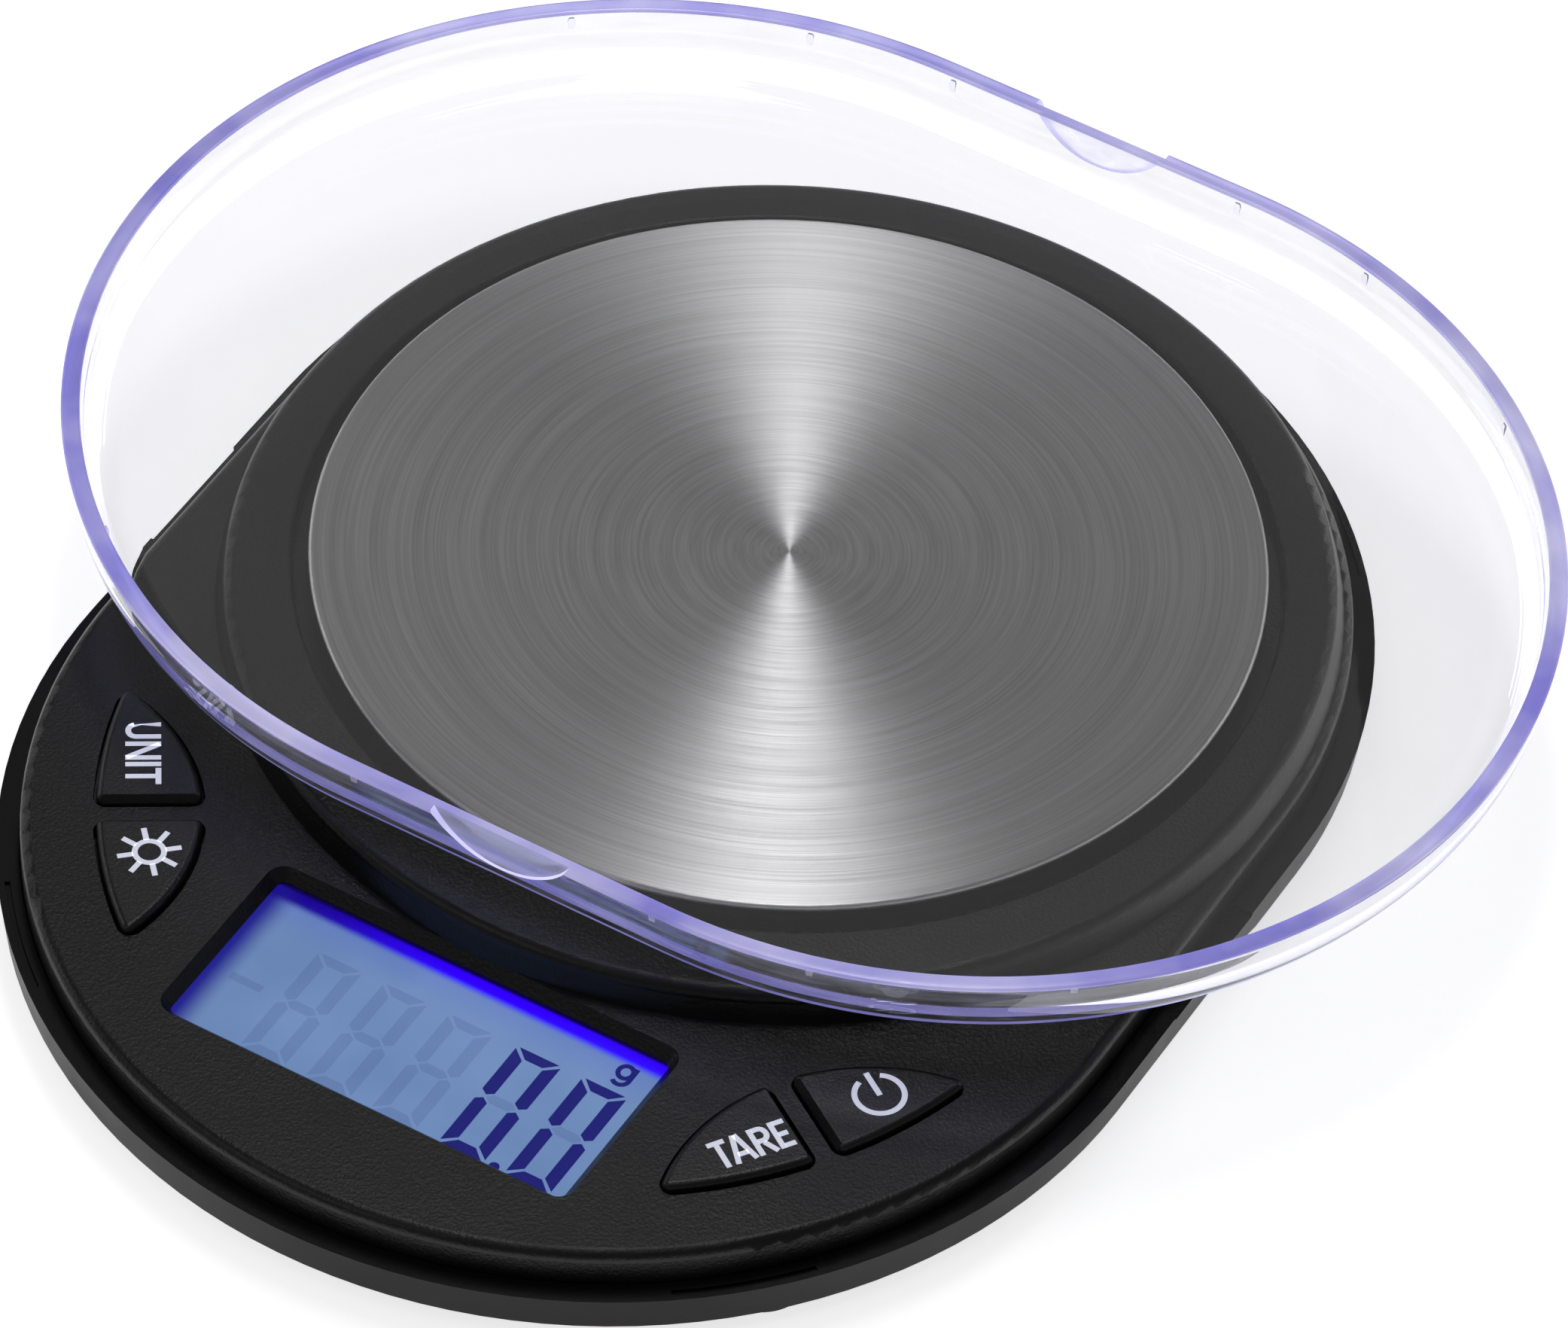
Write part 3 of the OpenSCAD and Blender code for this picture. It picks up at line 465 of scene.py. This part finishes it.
def make_cover():
    """The clear cover: the section swept round the outline, with ribs and scallops."""
    section = cover_section()
    track = cover_track()
    verts, faces, zones = [], [], []
    for shift, way_x, way_y in track:
        for reach, height, _ in section:
            verts.append((cover_mid.x + shift + reach * way_x, cover_mid.y + reach * way_y, height))
    n, m = len(section), len(track)
    for i in range(m):
        j = (i + 1) % m
        for k in range(n - 1):
            faces.append((i * n + k, j * n + k, j * n + k + 1, i * n + k + 1))
            zones.append(section[k][2])
    faces.append([i * n for i in range(m)])
    zones.append(GLASS)
    faces.append([i * n + n - 1 for i in range(m)])
    zones.append(GLASS)
    # The rim, foot and wall paints each carry a painted glow.
    paints = [PAINTS["clear_cover"], RIM_PAINT, FOOT_PAINT, WALL_PAINT]
    cover = build("cover_bowl", verts, faces, paints, zones)
    add_ribs(cover)
    for side in (1, -1):
        cut(cover, scallop(side))
    smooth(cover, 28)
    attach(cover, "cover")
    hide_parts("clear_cover")


def add_ribs(cover):
    """The short snap ribs inside the rim."""
    width, depth, tall, bevel, cap = 0.7, 0.5, 1.8, 0.12, 0.3
    below_rim, sunk = 2.3, 0.1
    stand = cover_reach - COVER_WALL - sunk
    bottom = cover_top - below_rim
    spots = []
    for end in (1, -1):
        for side in (1, -1):
            for angle in (15, 40):
                a = math.radians(90 - side * (90 - angle))
                spots.append((end * cover_half + end * stand * math.sin(a), stand * math.cos(a)))
            spots.append((end * (cover_half - 1.0), side * stand))
    verts, faces = [], []
    for x, y in spots:
        near = max(-cover_half, min(cover_half, x))
        out = Vector((x - near, y, 0)).normalized()
        across = Vector((-out.y, out.x, 0))
        start = len(verts)
        for level in (0.0, tall - cap, tall):
            tight = bevel if level in (0.0, tall) else 0.0
            for u, w in ((-1, -1), (1, -1), (1, 1), (-1, 1)):
                spot = (Vector((cover_mid.x + x, cover_mid.y + y, bottom + level))
                        + out * (u * depth / 2 + (tight if u < 0 else 0))
                        + across * w * (width / 2 - tight))
                verts.append(spot)
        for level in range(2):
            for k in range(4):
                a = start + level * 4 + k
                b = start + level * 4 + (k + 1) % 4
                faces.append((a, b, b + 4, a + 4))
        faces.append([start + k for k in (3, 2, 1, 0)])
        faces.append([start + 8 + k for k in range(4)])
    ribs = build("ribs", verts, faces, [RIB_PAINT])
    cut(cover, ribs, "UNION")


def scallop(side):
    """A short cylinder that cuts the thumb scallop outside one long wall."""
    radius, above, deep, clear_of_wall, steps = 7.8, 3.9, 0.8, 3.0, 96
    verts, faces = [], []
    for reach in (cover_reach - deep, cover_reach + clear_of_wall):
        for i in range(steps):
            a = 2 * math.pi * i / steps
            verts.append((cover_mid.x + radius * math.cos(a), cover_mid.y + side * reach,
                          cover_top + above + radius * math.sin(a)))
    for i in range(steps):
        j = (i + 1) % steps
        faces.append((i, j, steps + j, steps + i))
    faces.append(list(range(steps)))
    faces.append(list(range(steps, 2 * steps)))
    zones = [1] * steps + [0, 0]
    return build("scallop", verts, faces, [SCALLOP_FACE, SCALLOP_EDGE], zones)


# The rim's violet is the plastic's own tint seen along it; its glow is painted light.
RIM_PAINT = violet_edge_painted_glow("cover_rim_violet_painted_glow", rgb(136, 130, 214), rgb(206, 203, 240),
                        glow=0.50, through=0.25)
# The corner's violet is a painted glow, standing in for the rim's light refracted through the
# corner.
FOOT_PAINT = violet_edge_painted_glow("cover_corner_painted_violet_glow", rgb(124, 118, 212), rgb(164, 160, 232),
                         glow=0.52, through=1.0, base=(0.97, 0.97, 0.985), rough=0.02)
# The wall's streaky glow is painted light, standing in for the bright streaks the wall shows.
WALL_PAINT = clear("cover_wall_plastic_painted_glow", (0.915, 0.914, 0.928), COVER_IOR, 0.0, 0.005,
                   glow=(0.050, 0.050, 0.068))
# The ribs' haze is their own; their glow is painted light.
RIB_PAINT = violet_edge_painted_glow("cover_rib_haze_and_painted_glow", rgb(160, 158, 196), rgb(190, 188, 214),
                        glow=0.30, through=0.8, base=(0.95, 0.95, 0.97), rough=0.2)
# The scallop's edge and face glow with painted light; the face's haze is its own.
SCALLOP_EDGE = violet_edge_painted_glow("scallop_edge_violet_painted_glow", rgb(186, 182, 238), rgb(232, 230, 250),
                           glow=0.70, through=0.2)
SCALLOP_FACE = violet_edge_painted_glow("scallop_face_haze_and_painted_glow", rgb(150, 150, 190), rgb(176, 176, 206),
                           glow=0.30, through=0.95, base=(0.93, 0.93, 0.96), rough=0.25)
make_cover()


# ---------------------------------------------------------------- keys

LEAF_R = 44.0
BULGE_R = 19.1
BULGE_AT = 53.8
LEAF_TURN = math.radians(33.2)
LEAF_SHIFT = 0.4
BAR_HALF = 1.1
KEY_ROUND = 0.65
FILLET = 0.6
CHAMFER = 0.5
CHAMFER_T = 0.78
FLANGE = 0.8
FLANGE_T = 0.7

key_top = key_high.z / MM
key_bottom = key_low.z / MM


def front_centre():
    """The centre of the two leaf circles, just behind that of the body's front arc."""
    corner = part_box("upper_housing")
    width = (corner[1].x - corner[0].x) / 2 / MM
    return corner[0].y / MM + width + LEAF_SHIFT


front_y = front_centre()


def leaf_outline(side, steps=26):
    """(point, normal) rows round one key inset by KEY_ROUND, in the pair's own frame:
    x outward from the body's middle, y along the pair, side 1 towards the pan."""
    big = LEAF_R - KEY_ROUND
    small = BULGE_R - KEY_ROUND
    low = BAR_HALF + KEY_ROUND
    meet_x = (big * big - small * small + BULGE_AT * BULGE_AT) / (2 * BULGE_AT)
    meet_y = math.sqrt(big * big - meet_x * meet_x)
    outer_from = math.asin(low / big)
    outer_to = math.atan2(meet_y, meet_x)
    rows = []
    for i in range(steps + 1):
        a = outer_from + (outer_to - outer_from) * i / steps
        rows.append(((big * math.cos(a), big * math.sin(a)), a))
    inner_from = math.atan2(meet_y, meet_x - BULGE_AT)
    inner_to = math.pi - math.asin(low / small)
    for i in range(steps + 1):
        a = inner_from + (inner_to - inner_from) * i / steps
        rows.append(((BULGE_AT + small * math.cos(a), small * math.sin(a)), a))
    first, last = rows[0], rows[-1]
    bar = 12
    for i in range(bar + 1):
        share = i / bar
        x = last[0][0] + (first[0][0] - last[0][0]) * share
        rows.append(((x, low), 1.5 * math.pi))
    out = []
    for k, (point, a) in enumerate(rows):
        following = rows[(k + 1) % len(rows)]
        out.append((point, a))
        gap = (following[1] - a) % (2 * math.pi)
        if math.dist(point, following[0]) < 1e-6 and gap > 1e-6:
            turns = 8
            for t in range(1, turns):
                out.append((point, a + gap * t / turns))
    result = []
    for k, (point, a) in enumerate(out):
        if k and math.dist(point, out[k - 1][0]) < 1e-6 and abs(a - out[k - 1][1]) < 1e-6:
            continue
        result.append(((point[0], side * point[1]), (math.cos(a), side * math.sin(a))))
    return result


def to_body(x, y, hand):
    """From the pair's own frame to the body's, on the right (1) or the left (-1)."""
    turned_x = x * math.cos(LEAF_TURN) + y * math.sin(LEAF_TURN)
    turned_y = -x * math.sin(LEAF_TURN) + y * math.cos(LEAF_TURN)
    return hand * turned_x, front_y + turned_y


def make_key(name, body, side, hand):
    """A key cap: its flange, its wall, a round edge, and a chamfer along the straight side."""
    outline = leaf_outline(side)
    rings = []

    def ring(inset, chamfer_inset, z, chamfer_z):
        """One row round the key; the chamfer's values count on the straight side."""
        row = []
        for (px, py), (nx, ny) in outline:
            bar = max(0.0, -side * ny) ** 6
            inset_here = inset * (1 - bar) + chamfer_inset * bar
            z_here = z * (1 - bar) + chamfer_z * bar
            reach = KEY_ROUND - inset_here
            row.append((*to_body(px + nx * reach, py + ny * reach, hand), z_here))
        rings.append(row)

    flange_top = key_bottom + FLANGE_T
    ring(-FLANGE, 0, key_bottom, key_bottom)
    ring(-FLANGE, 0, flange_top, flange_top)
    ring(0, 0, flange_top, flange_top)
    steps = 7
    for i in range(steps + 1):
        a = math.radians(90 * i / steps)
        drop = FILLET * (1 - math.sin(a))
        share = i / steps
        ring(FILLET * (1 - math.cos(a)), CHAMFER * share, key_top - drop,
             key_top - CHAMFER_T * (1 - share))
    count = len(outline)
    middle_x = sum(p[0] for p in rings[-1]) / count
    middle_y = sum(p[1] for p in rings[-1]) / count
    rings.append([(middle_x + (x - middle_x) * 0.97, middle_y + (y - middle_y) * 0.97, key_top)
                  for x, y, _ in rings[-1]])
    verts = [v for row in rings for v in row]
    faces = []
    for r in range(len(rings) - 1):
        for k in range(count):
            a, b = r * count + k, r * count + (k + 1) % count
            faces.append((a, b, b + count, a + count))
    faces.append(list(range(count)))
    faces.append([(len(rings) - 1) * count + k for k in range(count)])
    key = build(name + "_cap", verts, faces, [PAINTS["key_plastic"]], smooth_angle=34)
    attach(key, body)
    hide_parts(name)


KEYS = (("unit", 1, -1), ("light", -1, -1), ("power", 1, 1), ("tare", -1, 1))
for key_name, key_side, key_hand in KEYS:
    make_key(key_name + "_key", key_name + "_button", key_side, key_hand)


# ---------------------------------------------------------------- soft pieces

BEND_HALF, BEND_CUTS = 13.0, 12


def soft_copy(node_name):
    """A copy of a CAD node's mesh in the node's place, with the node itself hidden."""
    node = frame["nodes"][node_name]
    piece = bpy.data.objects.new(node_name + "_soft", node.data.copy())
    scene.collection.objects.link(piece)
    piece.matrix_world = node.matrix_world.copy()
    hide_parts(node_name)
    return piece


def press_dome(key_name):
    """A copy, with a mesh of its own, of the silicone spring under a key, fixed to the housing; the
    real spring shortens as the key goes down.
    """
    dome = soft_copy(key_name + "_dome")
    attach(dome, "housing")
    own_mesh(dome)


def bend_with_cell(node_name):
    """A copy of the load cell or of what is glued to it, cut into slices across the cell's middle,
    where the real cell bends from the housing's side to the pan's side.
    """
    piece = soft_copy(node_name)
    piece.data.transform(piece.matrix_world)
    piece.matrix_world.identity()
    low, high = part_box("load_cell")
    middle = (low + high) / 2
    work = bmesh.new()
    work.from_mesh(piece.data)
    for i in range(BEND_CUTS + 1):
        cut_x = middle.x + BEND_HALF * (2.0 * i / BEND_CUTS - 1.0) * MM
        bmesh.ops.bisect_plane(work, geom=work.verts[:] + work.edges[:] + work.faces[:],
                               plane_co=(cut_x, 0.0, 0.0), plane_no=(1.0, 0.0, 0.0))
    work.to_mesh(piece.data)
    work.free()
    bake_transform(piece)


for key_name, _, _ in KEYS:
    press_dome(key_name)
for node_name in ("load_cell", "strain_gauges", "gauge_sealant"):
    bend_with_cell(node_name)


# ---------------------------------------------------------------- strokes and legends

def stroke(points, width, closed=False):
    """Left and right edges of a line of that width, with mitred corners."""
    count = len(points)
    left, right = [], []
    for i, (x, y) in enumerate(points):
        before = points[(i - 1) % count] if closed or i else None
        after = points[(i + 1) % count] if closed or i < count - 1 else None
        ways = []
        if before is not None:
            ways.append(Vector((x - before[0], y - before[1])).normalized())
        if after is not None:
            ways.append(Vector((after[0] - x, after[1] - y)).normalized())
        mean = sum(ways, Vector((0, 0))).normalized()
        across = Vector((-mean.y, mean.x))
        stretch = 1 / max(0.35, abs(across.dot(Vector((-ways[0].y, ways[0].x)))))
        reach = across * width / 2 * stretch
        left.append((x + reach.x, y + reach.y))
        right.append((x - reach.x, y - reach.y))
    return left, right


def arc(cx, cy, rx, ry, start, end, steps=20):
    """Points on an ellipse, from start to end in degrees."""
    return [(cx + rx * math.cos(math.radians(start + (end - start) * i / steps)),
             cy + ry * math.sin(math.radians(start + (end - start) * i / steps)))
            for i in range(steps + 1)]


def ink(name, lines, width, place, z, thick, paint):
    """Thin raised ink along lines; place turns a drawing point into millimetres."""
    verts, faces = [], []
    for line in lines:
        closed = line[0] == line[-1] and len(line) > 3
        points = line[:-1] if closed else line
        left, right = stroke(points, width, closed)
        start, count = len(verts), len(points)
        for level in (z, z + thick):
            for side_points in (left, right):
                verts += [(*place(*p), level) for p in side_points]
        pieces = count if closed else count - 1
        for i in range(pieces):
            a, b = start + i, start + (i + 1) % count
            low_left, low_right = (a, b), (a + count, b + count)
            top_left, top_right = (a + 2 * count, b + 2 * count), (a + 3 * count, b + 3 * count)
            faces.append((*top_left, top_right[1], top_right[0]))
            faces.append((*low_left, low_right[1], low_right[0]))
            faces.append((*low_left, top_left[1], top_left[0]))
            faces.append((*low_right, top_right[1], top_right[0]))
        if not closed:
            for i in (start, start + count - 1):
                faces.append((i, i + count, i + 3 * count, i + 2 * count))
    return build(name, verts, faces, [paint])


# The white print also glows a little: a painted glow that makes it brighter than the lamps would.
INK_AND_PAINTED_GLOW = smooth_plastic("legend_ink_painted_glow", rgb(232, 235, 246), 0.55, 0.03, 0.002,
                     Emission_Color=rgba(rgb(200, 204, 220)), Emission_Strength=0.55)
STROKE = 0.5


def letters_tare(height):
    """The word for taking off the container's weight, as strokes from its left end."""
    h = height
    half = STROKE / 2
    return [
        [(0.0, h - half), (1.62, h - half)], [(0.81, h - STROKE), (0.81, 0.0)],
        [(1.72, 0.0), (2.50, h)], [(2.68, h), (3.46, 0.0)], [(2.10, 0.95), (3.08, 0.95)],
        [(4.06, 0.0), (4.06, h)],
        [(4.29, h - half), (4.75, h - half), *arc(4.80, h - half - 0.66, 0.55, 0.66, 80, -80, 10),
         (4.75, h - half - 1.32), (4.29, h - half - 1.32)],
        [(4.78, h - STROKE - 1.30), (5.50, 0.0)],
        [(6.07, 0.0), (6.07, h)], [(6.30, h - half), (7.30, h - half)],
        [(6.30, h / 2), (7.15, h / 2)], [(6.30, half), (7.30, half)],
    ]


def letters_unit(height):
    """The word for changing the unit, as strokes from its left end."""
    h = height
    half = STROKE / 2
    return [
        [(half, h), (half, 0.95), *arc(half + 0.72, 0.95, 0.72, 0.95 - half, 180, 360, 12),
         (half + 1.44, h)],
        [(2.55, 0.0), (2.55, h)], [(2.60, h - 0.1), (4.15, 0.1)], [(4.20, 0.0), (4.20, h)],
        [(4.98, 0.0), (4.98, h)],
        [(5.46, h - half), (7.36, h - half)], [(6.41, h - STROKE), (6.41, 0.0)],
    ]


def key_place(along, out, hand, reading):
    """Places a drawing on a key: x reads along the pair, y points to the body's middle."""
    def place(x, y):
        return to_body(out - y, along + reading * x, hand)
    return place


LEGEND_Z = key_top - 0.004
LEGEND_T = 0.028
LETTER_H = 3.12


def legend(name, lines, place, body):
    """The printed mark on one key."""
    piece = ink(name, lines, STROKE, place, LEGEND_Z, LEGEND_T, INK_AND_PAINTED_GLOW)
    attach(piece, body)


legend("unit_legend", letters_unit(LETTER_H), key_place(10.12, 41.45, -1, -1), "unit_button")
legend("tare_legend", letters_tare(LETTER_H), key_place(-9.0, 41.93, 1, 0.98), "tare_button")

SUN_R, RAY_FROM, RAY_TO = 1.27, 1.42, 2.82
sun_ring = arc(0, 0, SUN_R, SUN_R, 0, 360, 40)
sun_ring[-1] = sun_ring[0]
sun_rays = []
for ray in range(8):
    ray_turn = math.radians(45 * ray + 10)
    sun_rays.append([(RAY_FROM * math.cos(ray_turn), RAY_FROM * math.sin(ray_turn)),
                     (RAY_TO * math.cos(ray_turn), RAY_TO * math.sin(ray_turn))])
legend("light_legend", [sun_ring, *sun_rays], key_place(-5.23, 39.39, -1, -1), "light_button")

POWER_R = 2.15
power_ring = arc(0, 0, POWER_R, POWER_R, 117, 423, 40)
power_bar = [(0.0, 2.63), (0.0, -0.1)]
legend("power_legend", [power_ring, power_bar], key_place(6.96, 39.80, 1, 1), "power_button")


# ---------------------------------------------------------------- display

DIGIT_W = 4.45
DIGIT_TOP = 4.28
DIGIT_MID = -2.02
DIGIT_LOW = -8.42
BAR_W = 1.22
BAR_T = 1.0
GAP = 0.13

window_mid_y = (lens_low.y + lens_high.y) / 2 / MM
panel_z = glass_high.z / MM - 0.1


def segments(x):
    """The seven segments of a digit whose left edge is at x, as outlines."""
    left, right = x, x + DIGIT_W
    top, mid, low = DIGIT_TOP, DIGIT_MID, DIGIT_LOW
    w, t, g = BAR_W, BAR_T, GAP
    tip = 0.068
    return {
        "a": [(left + 2 * g, top), (right - 2 * g, top),
              (right - w - g, top - t), (left + w + g, top - t)],
        "d": [(left + w + g, low + t), (right - w - g, low + t),
              (right - 2 * g, low), (left + 2 * g, low)],
        "f": [(left, top - 2 * g), (left + w, top - t - 2 * g), (left + w, mid + t / 2 + g),
              (left + w / 2, mid + g + tip), (left, mid + t / 2 + g)],
        "b": [(right, top - 2 * g), (right - w, top - t - 2 * g), (right - w, mid + t / 2 + g),
              (right - w / 2, mid + g + tip), (right, mid + t / 2 + g)],
        "e": [(left, low + 2 * g), (left + w, low + t + 2 * g), (left + w, mid - t / 2 - g),
              (left + w / 2, mid - g - tip), (left, mid - t / 2 - g)],
        "c": [(right, low + 2 * g), (right - w, low + t + 2 * g), (right - w, mid - t / 2 - g),
              (right - w / 2, mid - g - tip), (right, mid - t / 2 - g)],
        "g": [(left + w / 2 + g, mid), (left + w + g, mid + t / 2), (right - w - g, mid + t / 2),
              (right - w / 2 - g, mid), (right - w - g, mid - t / 2), (left + w + g, mid - t / 2)],
    }


def plates(name, outlines, z, thick, paint):
    """Thin flat shapes on the display."""
    verts, faces = [], []
    for outline in outlines:
        start, count = len(verts), len(outline)
        for level in (z, z + thick):
            verts += [(x, window_mid_y + y, level) for x, y in outline]
        for k in range(count):
            nxt = (k + 1) % count
            faces.append((start + k, start + nxt, start + count + nxt, start + count + k))
        faces.append([start + k for k in range(count)])
        faces.append([start + count + k for k in range(count)])
    piece = build(name, verts, faces, [paint])
    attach(piece, "housing")


PANEL = display_paint("display_panel_light", 1.0, rgb(20, 18, 100))
LIT = display_paint("display_digit_lit", 0.03, rgb(24, 20, 112))
GHOST = display_paint("display_digit_ghost", 0.80, rgb(40, 60, 120))

DIGIT_LEFTS = (-12.8, -6.2, 0.4, 7.2, 13.75)
FIRST_LIT = 3
POINT_X, POINT_Y, POINT_R = 12.65, -8.35, 0.5
MINUS_FROM, MINUS_TO, MINUS_HALF = -17.8, -14.6, 0.4
lit, ghost = [], []
for place_no, digit_left in enumerate(DIGIT_LEFTS):
    for segment_name, segment in segments(digit_left).items():
        on = place_no >= FIRST_LIT and segment_name != "g"
        (lit if on else ghost).append(segment)
lit.append(arc(POINT_X, POINT_Y, POINT_R, POINT_R, 0, 330, 11))
ghost.append([(MINUS_FROM, DIGIT_MID - MINUS_HALF), (MINUS_TO, DIGIT_MID - MINUS_HALF),
              (MINUS_TO, DIGIT_MID + MINUS_HALF), (MINUS_FROM, DIGIT_MID + MINUS_HALF)])
plates("display_digits", lit, panel_z, 0.03, LIT)
plates("display_ghosts", ghost, panel_z, 0.02, GHOST)


def lowercase(x, y, size):
    """Strokes for the small unit letter."""
    bowl = arc(x, y, size * 0.46, size * 0.5, 0, 360, 20)
    bowl[-1] = bowl[0]
    tail = [(x + size * 0.52, y + size * 0.55), (x + size * 0.52, y - size * 0.55),
            *arc(x, y - size * 0.55, size * 0.52, size * 0.5, 0, -140, 10)[1:]]
    return [bowl, tail]


unit_mark = ink("display_unit_mark", lowercase(16.55, 6.70, 1.45), 0.44,
                lambda x, y: (x, window_mid_y + y), panel_z, 0.03, LIT)
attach(unit_mark, "housing")


def make_panel():
    """The display's two glass plates under their polariser film."""
    gx = (glass_high.x - glass_low.x) / 2 / MM
    back, front = glass_high.y / MM, glass_low.y / MM
    bottom = glass_low.z / MM
    half_way = bottom + 0.5
    layers = ((bottom, half_way, 0.0, 0.0), (half_way, panel_z - 0.1, 0.1, 0.05),
              (panel_z - 0.1, panel_z, 0.2, 0.1))
    verts, faces, zones = [], [], []
    for low_z, high_z, rear_in, inset in layers:
        edge = 0.06
        start = len(verts)
        rows = ((low_z, edge), (low_z + edge, 0.0), (high_z - edge, 0.0), (high_z, edge))
        for z, tight in rows:
            cut_in = inset + tight
            side_x, front_y_in, back_y_in = gx - cut_in, front + cut_in, back - rear_in - cut_in
            verts += [(-side_x, front_y_in, z), (side_x, front_y_in, z),
                      (side_x, back_y_in, z), (-side_x, back_y_in, z)]
        for r in range(3):
            for k in range(4):
                a, b = start + r * 4 + k, start + r * 4 + (k + 1) % 4
                faces.append((a, b, b + 4, a + 4))
                zones.append(0)
        faces.append([start + k for k in range(4)])
        zones.append(0)
        faces.append([start + 12 + k for k in range(4)])
        zones.append(1 if high_z == panel_z else 0)
    panel = build("display_panel", verts, faces, [PAINTS["lcd"], PANEL], zones)
    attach(panel, "housing")
    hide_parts("lcd_glass")


make_panel()


# ---------------------------------------------------------------- floor, light, camera

def make_floor():
    """A pale sheet just under the feet, lit enough to look white."""
    half, drop, steps = 1600.0, 0.05, 8
    verts, faces = [], []
    for i in range(steps + 1):
        for j in range(steps + 1):
            verts.append((-half + 2 * half * i / steps, -half + 2 * half * j / steps, -drop))
    for i in range(steps):
        for j in range(steps):
            a = i * (steps + 1) + j
            faces.append((a, a + steps + 1, a + steps + 2, a + 1))
    p = Paint("floor_white")
    paint = p.surface(p.principled(
        Base_Color=shades(p, (0.93, 0.93, 0.93), 60.0, 0.01), Roughness=0.9,
        Emission_Color=rgba((1.0, 1.0, 1.0)), Emission_Strength=0.74))
    floor = build("floor", verts, faces, [paint])


def softbox(name, azimuth, elevation, distance, size, power):
    """A flat lamp aimed at the pan. Azimuth 0 is in front and goes anticlockwise from above,
    angles in degrees, distance and size in metres, power in watts."""
    a, e = math.radians(azimuth), math.radians(elevation)
    way = Vector((math.sin(a) * math.cos(e), -math.cos(a) * math.cos(e), math.sin(e)))
    light = bpy.data.lights.new(name, "AREA")
    light.shape = "RECTANGLE"
    light.size, light.size_y = size
    light.energy = power
    lamp = bpy.data.objects.new(name, light)
    scene.collection.objects.link(lamp)
    lamp.location = Vector((PAN_X, PAN_Y, PAN_Z)) + way * distance
    lamp.rotation_euler = way.to_track_quat("Z", "Y").to_euler()


def make_camera():
    """The photo's viewpoint: a long lens aimed a little below the pan's middle."""
    azimuth, elevation, roll = (math.radians(v) for v in (28.26, 46.27, 3.27))
    distance, lens, sensor = 0.9157, 237.62938, 36.0
    aim_left, aim_down = 0.0004396, 0.0093704
    back = Vector((math.sin(azimuth) * math.cos(elevation),
                   -math.cos(azimuth) * math.cos(elevation), math.sin(elevation)))
    level_right = Vector((math.cos(azimuth), math.sin(azimuth), 0.0))
    level_up = back.cross(level_right)
    right = level_right * math.cos(roll) + level_up * math.sin(roll)
    up = level_up * math.cos(roll) - level_right * math.sin(roll)
    data = bpy.data.cameras.new("camera")
    data.sensor_width = sensor
    data.lens = lens
    data.clip_start, data.clip_end = 0.05, 10.0
    camera = bpy.data.objects.new("camera", data)
    scene.collection.objects.link(camera)
    spot = (Vector((PAN_X, PAN_Y, PAN_Z)) + back * distance
            - right * aim_left - up * aim_down)
    matrix = camera.matrix_world.copy()
    for row in range(3):
        matrix[row][0], matrix[row][1], matrix[row][2] = right[row], up[row], back[row]
        matrix[row][3] = spot[row]
    camera.matrix_world = matrix
    scene.camera = camera


make_floor()
softbox("key_light", 208.0, 72.0, 0.9, (0.14, 0.38), 1.12)
softbox("back_light", 222.0, 47.0, 0.9, (0.50, 0.45), 0.11)
softbox("front_light", 28.0, 78.0, 1.0, (0.26, 0.34), 0.32)
softbox("left_strip", 264.0, 20.0, 1.0, (0.90, 0.07), 1.0)
softbox("right_strip", 150.0, 20.0, 1.0, (0.80, 0.07), 0.6)
softbox("front_strip", 330.0, 42.0, 1.0, (0.60, 0.05), 0.4)
make_camera()

WORLD_LIGHT = 0.13
world = bpy.data.worlds.new("studio")
world.use_nodes = True
background = world.node_tree.nodes["Background"]
background.inputs["Color"].default_value = (1.0, 1.0, 1.0, 1.0)
background.inputs["Strength"].default_value = WORLD_LIGHT
scene.world = world
scene.view_settings.view_transform = "Standard"
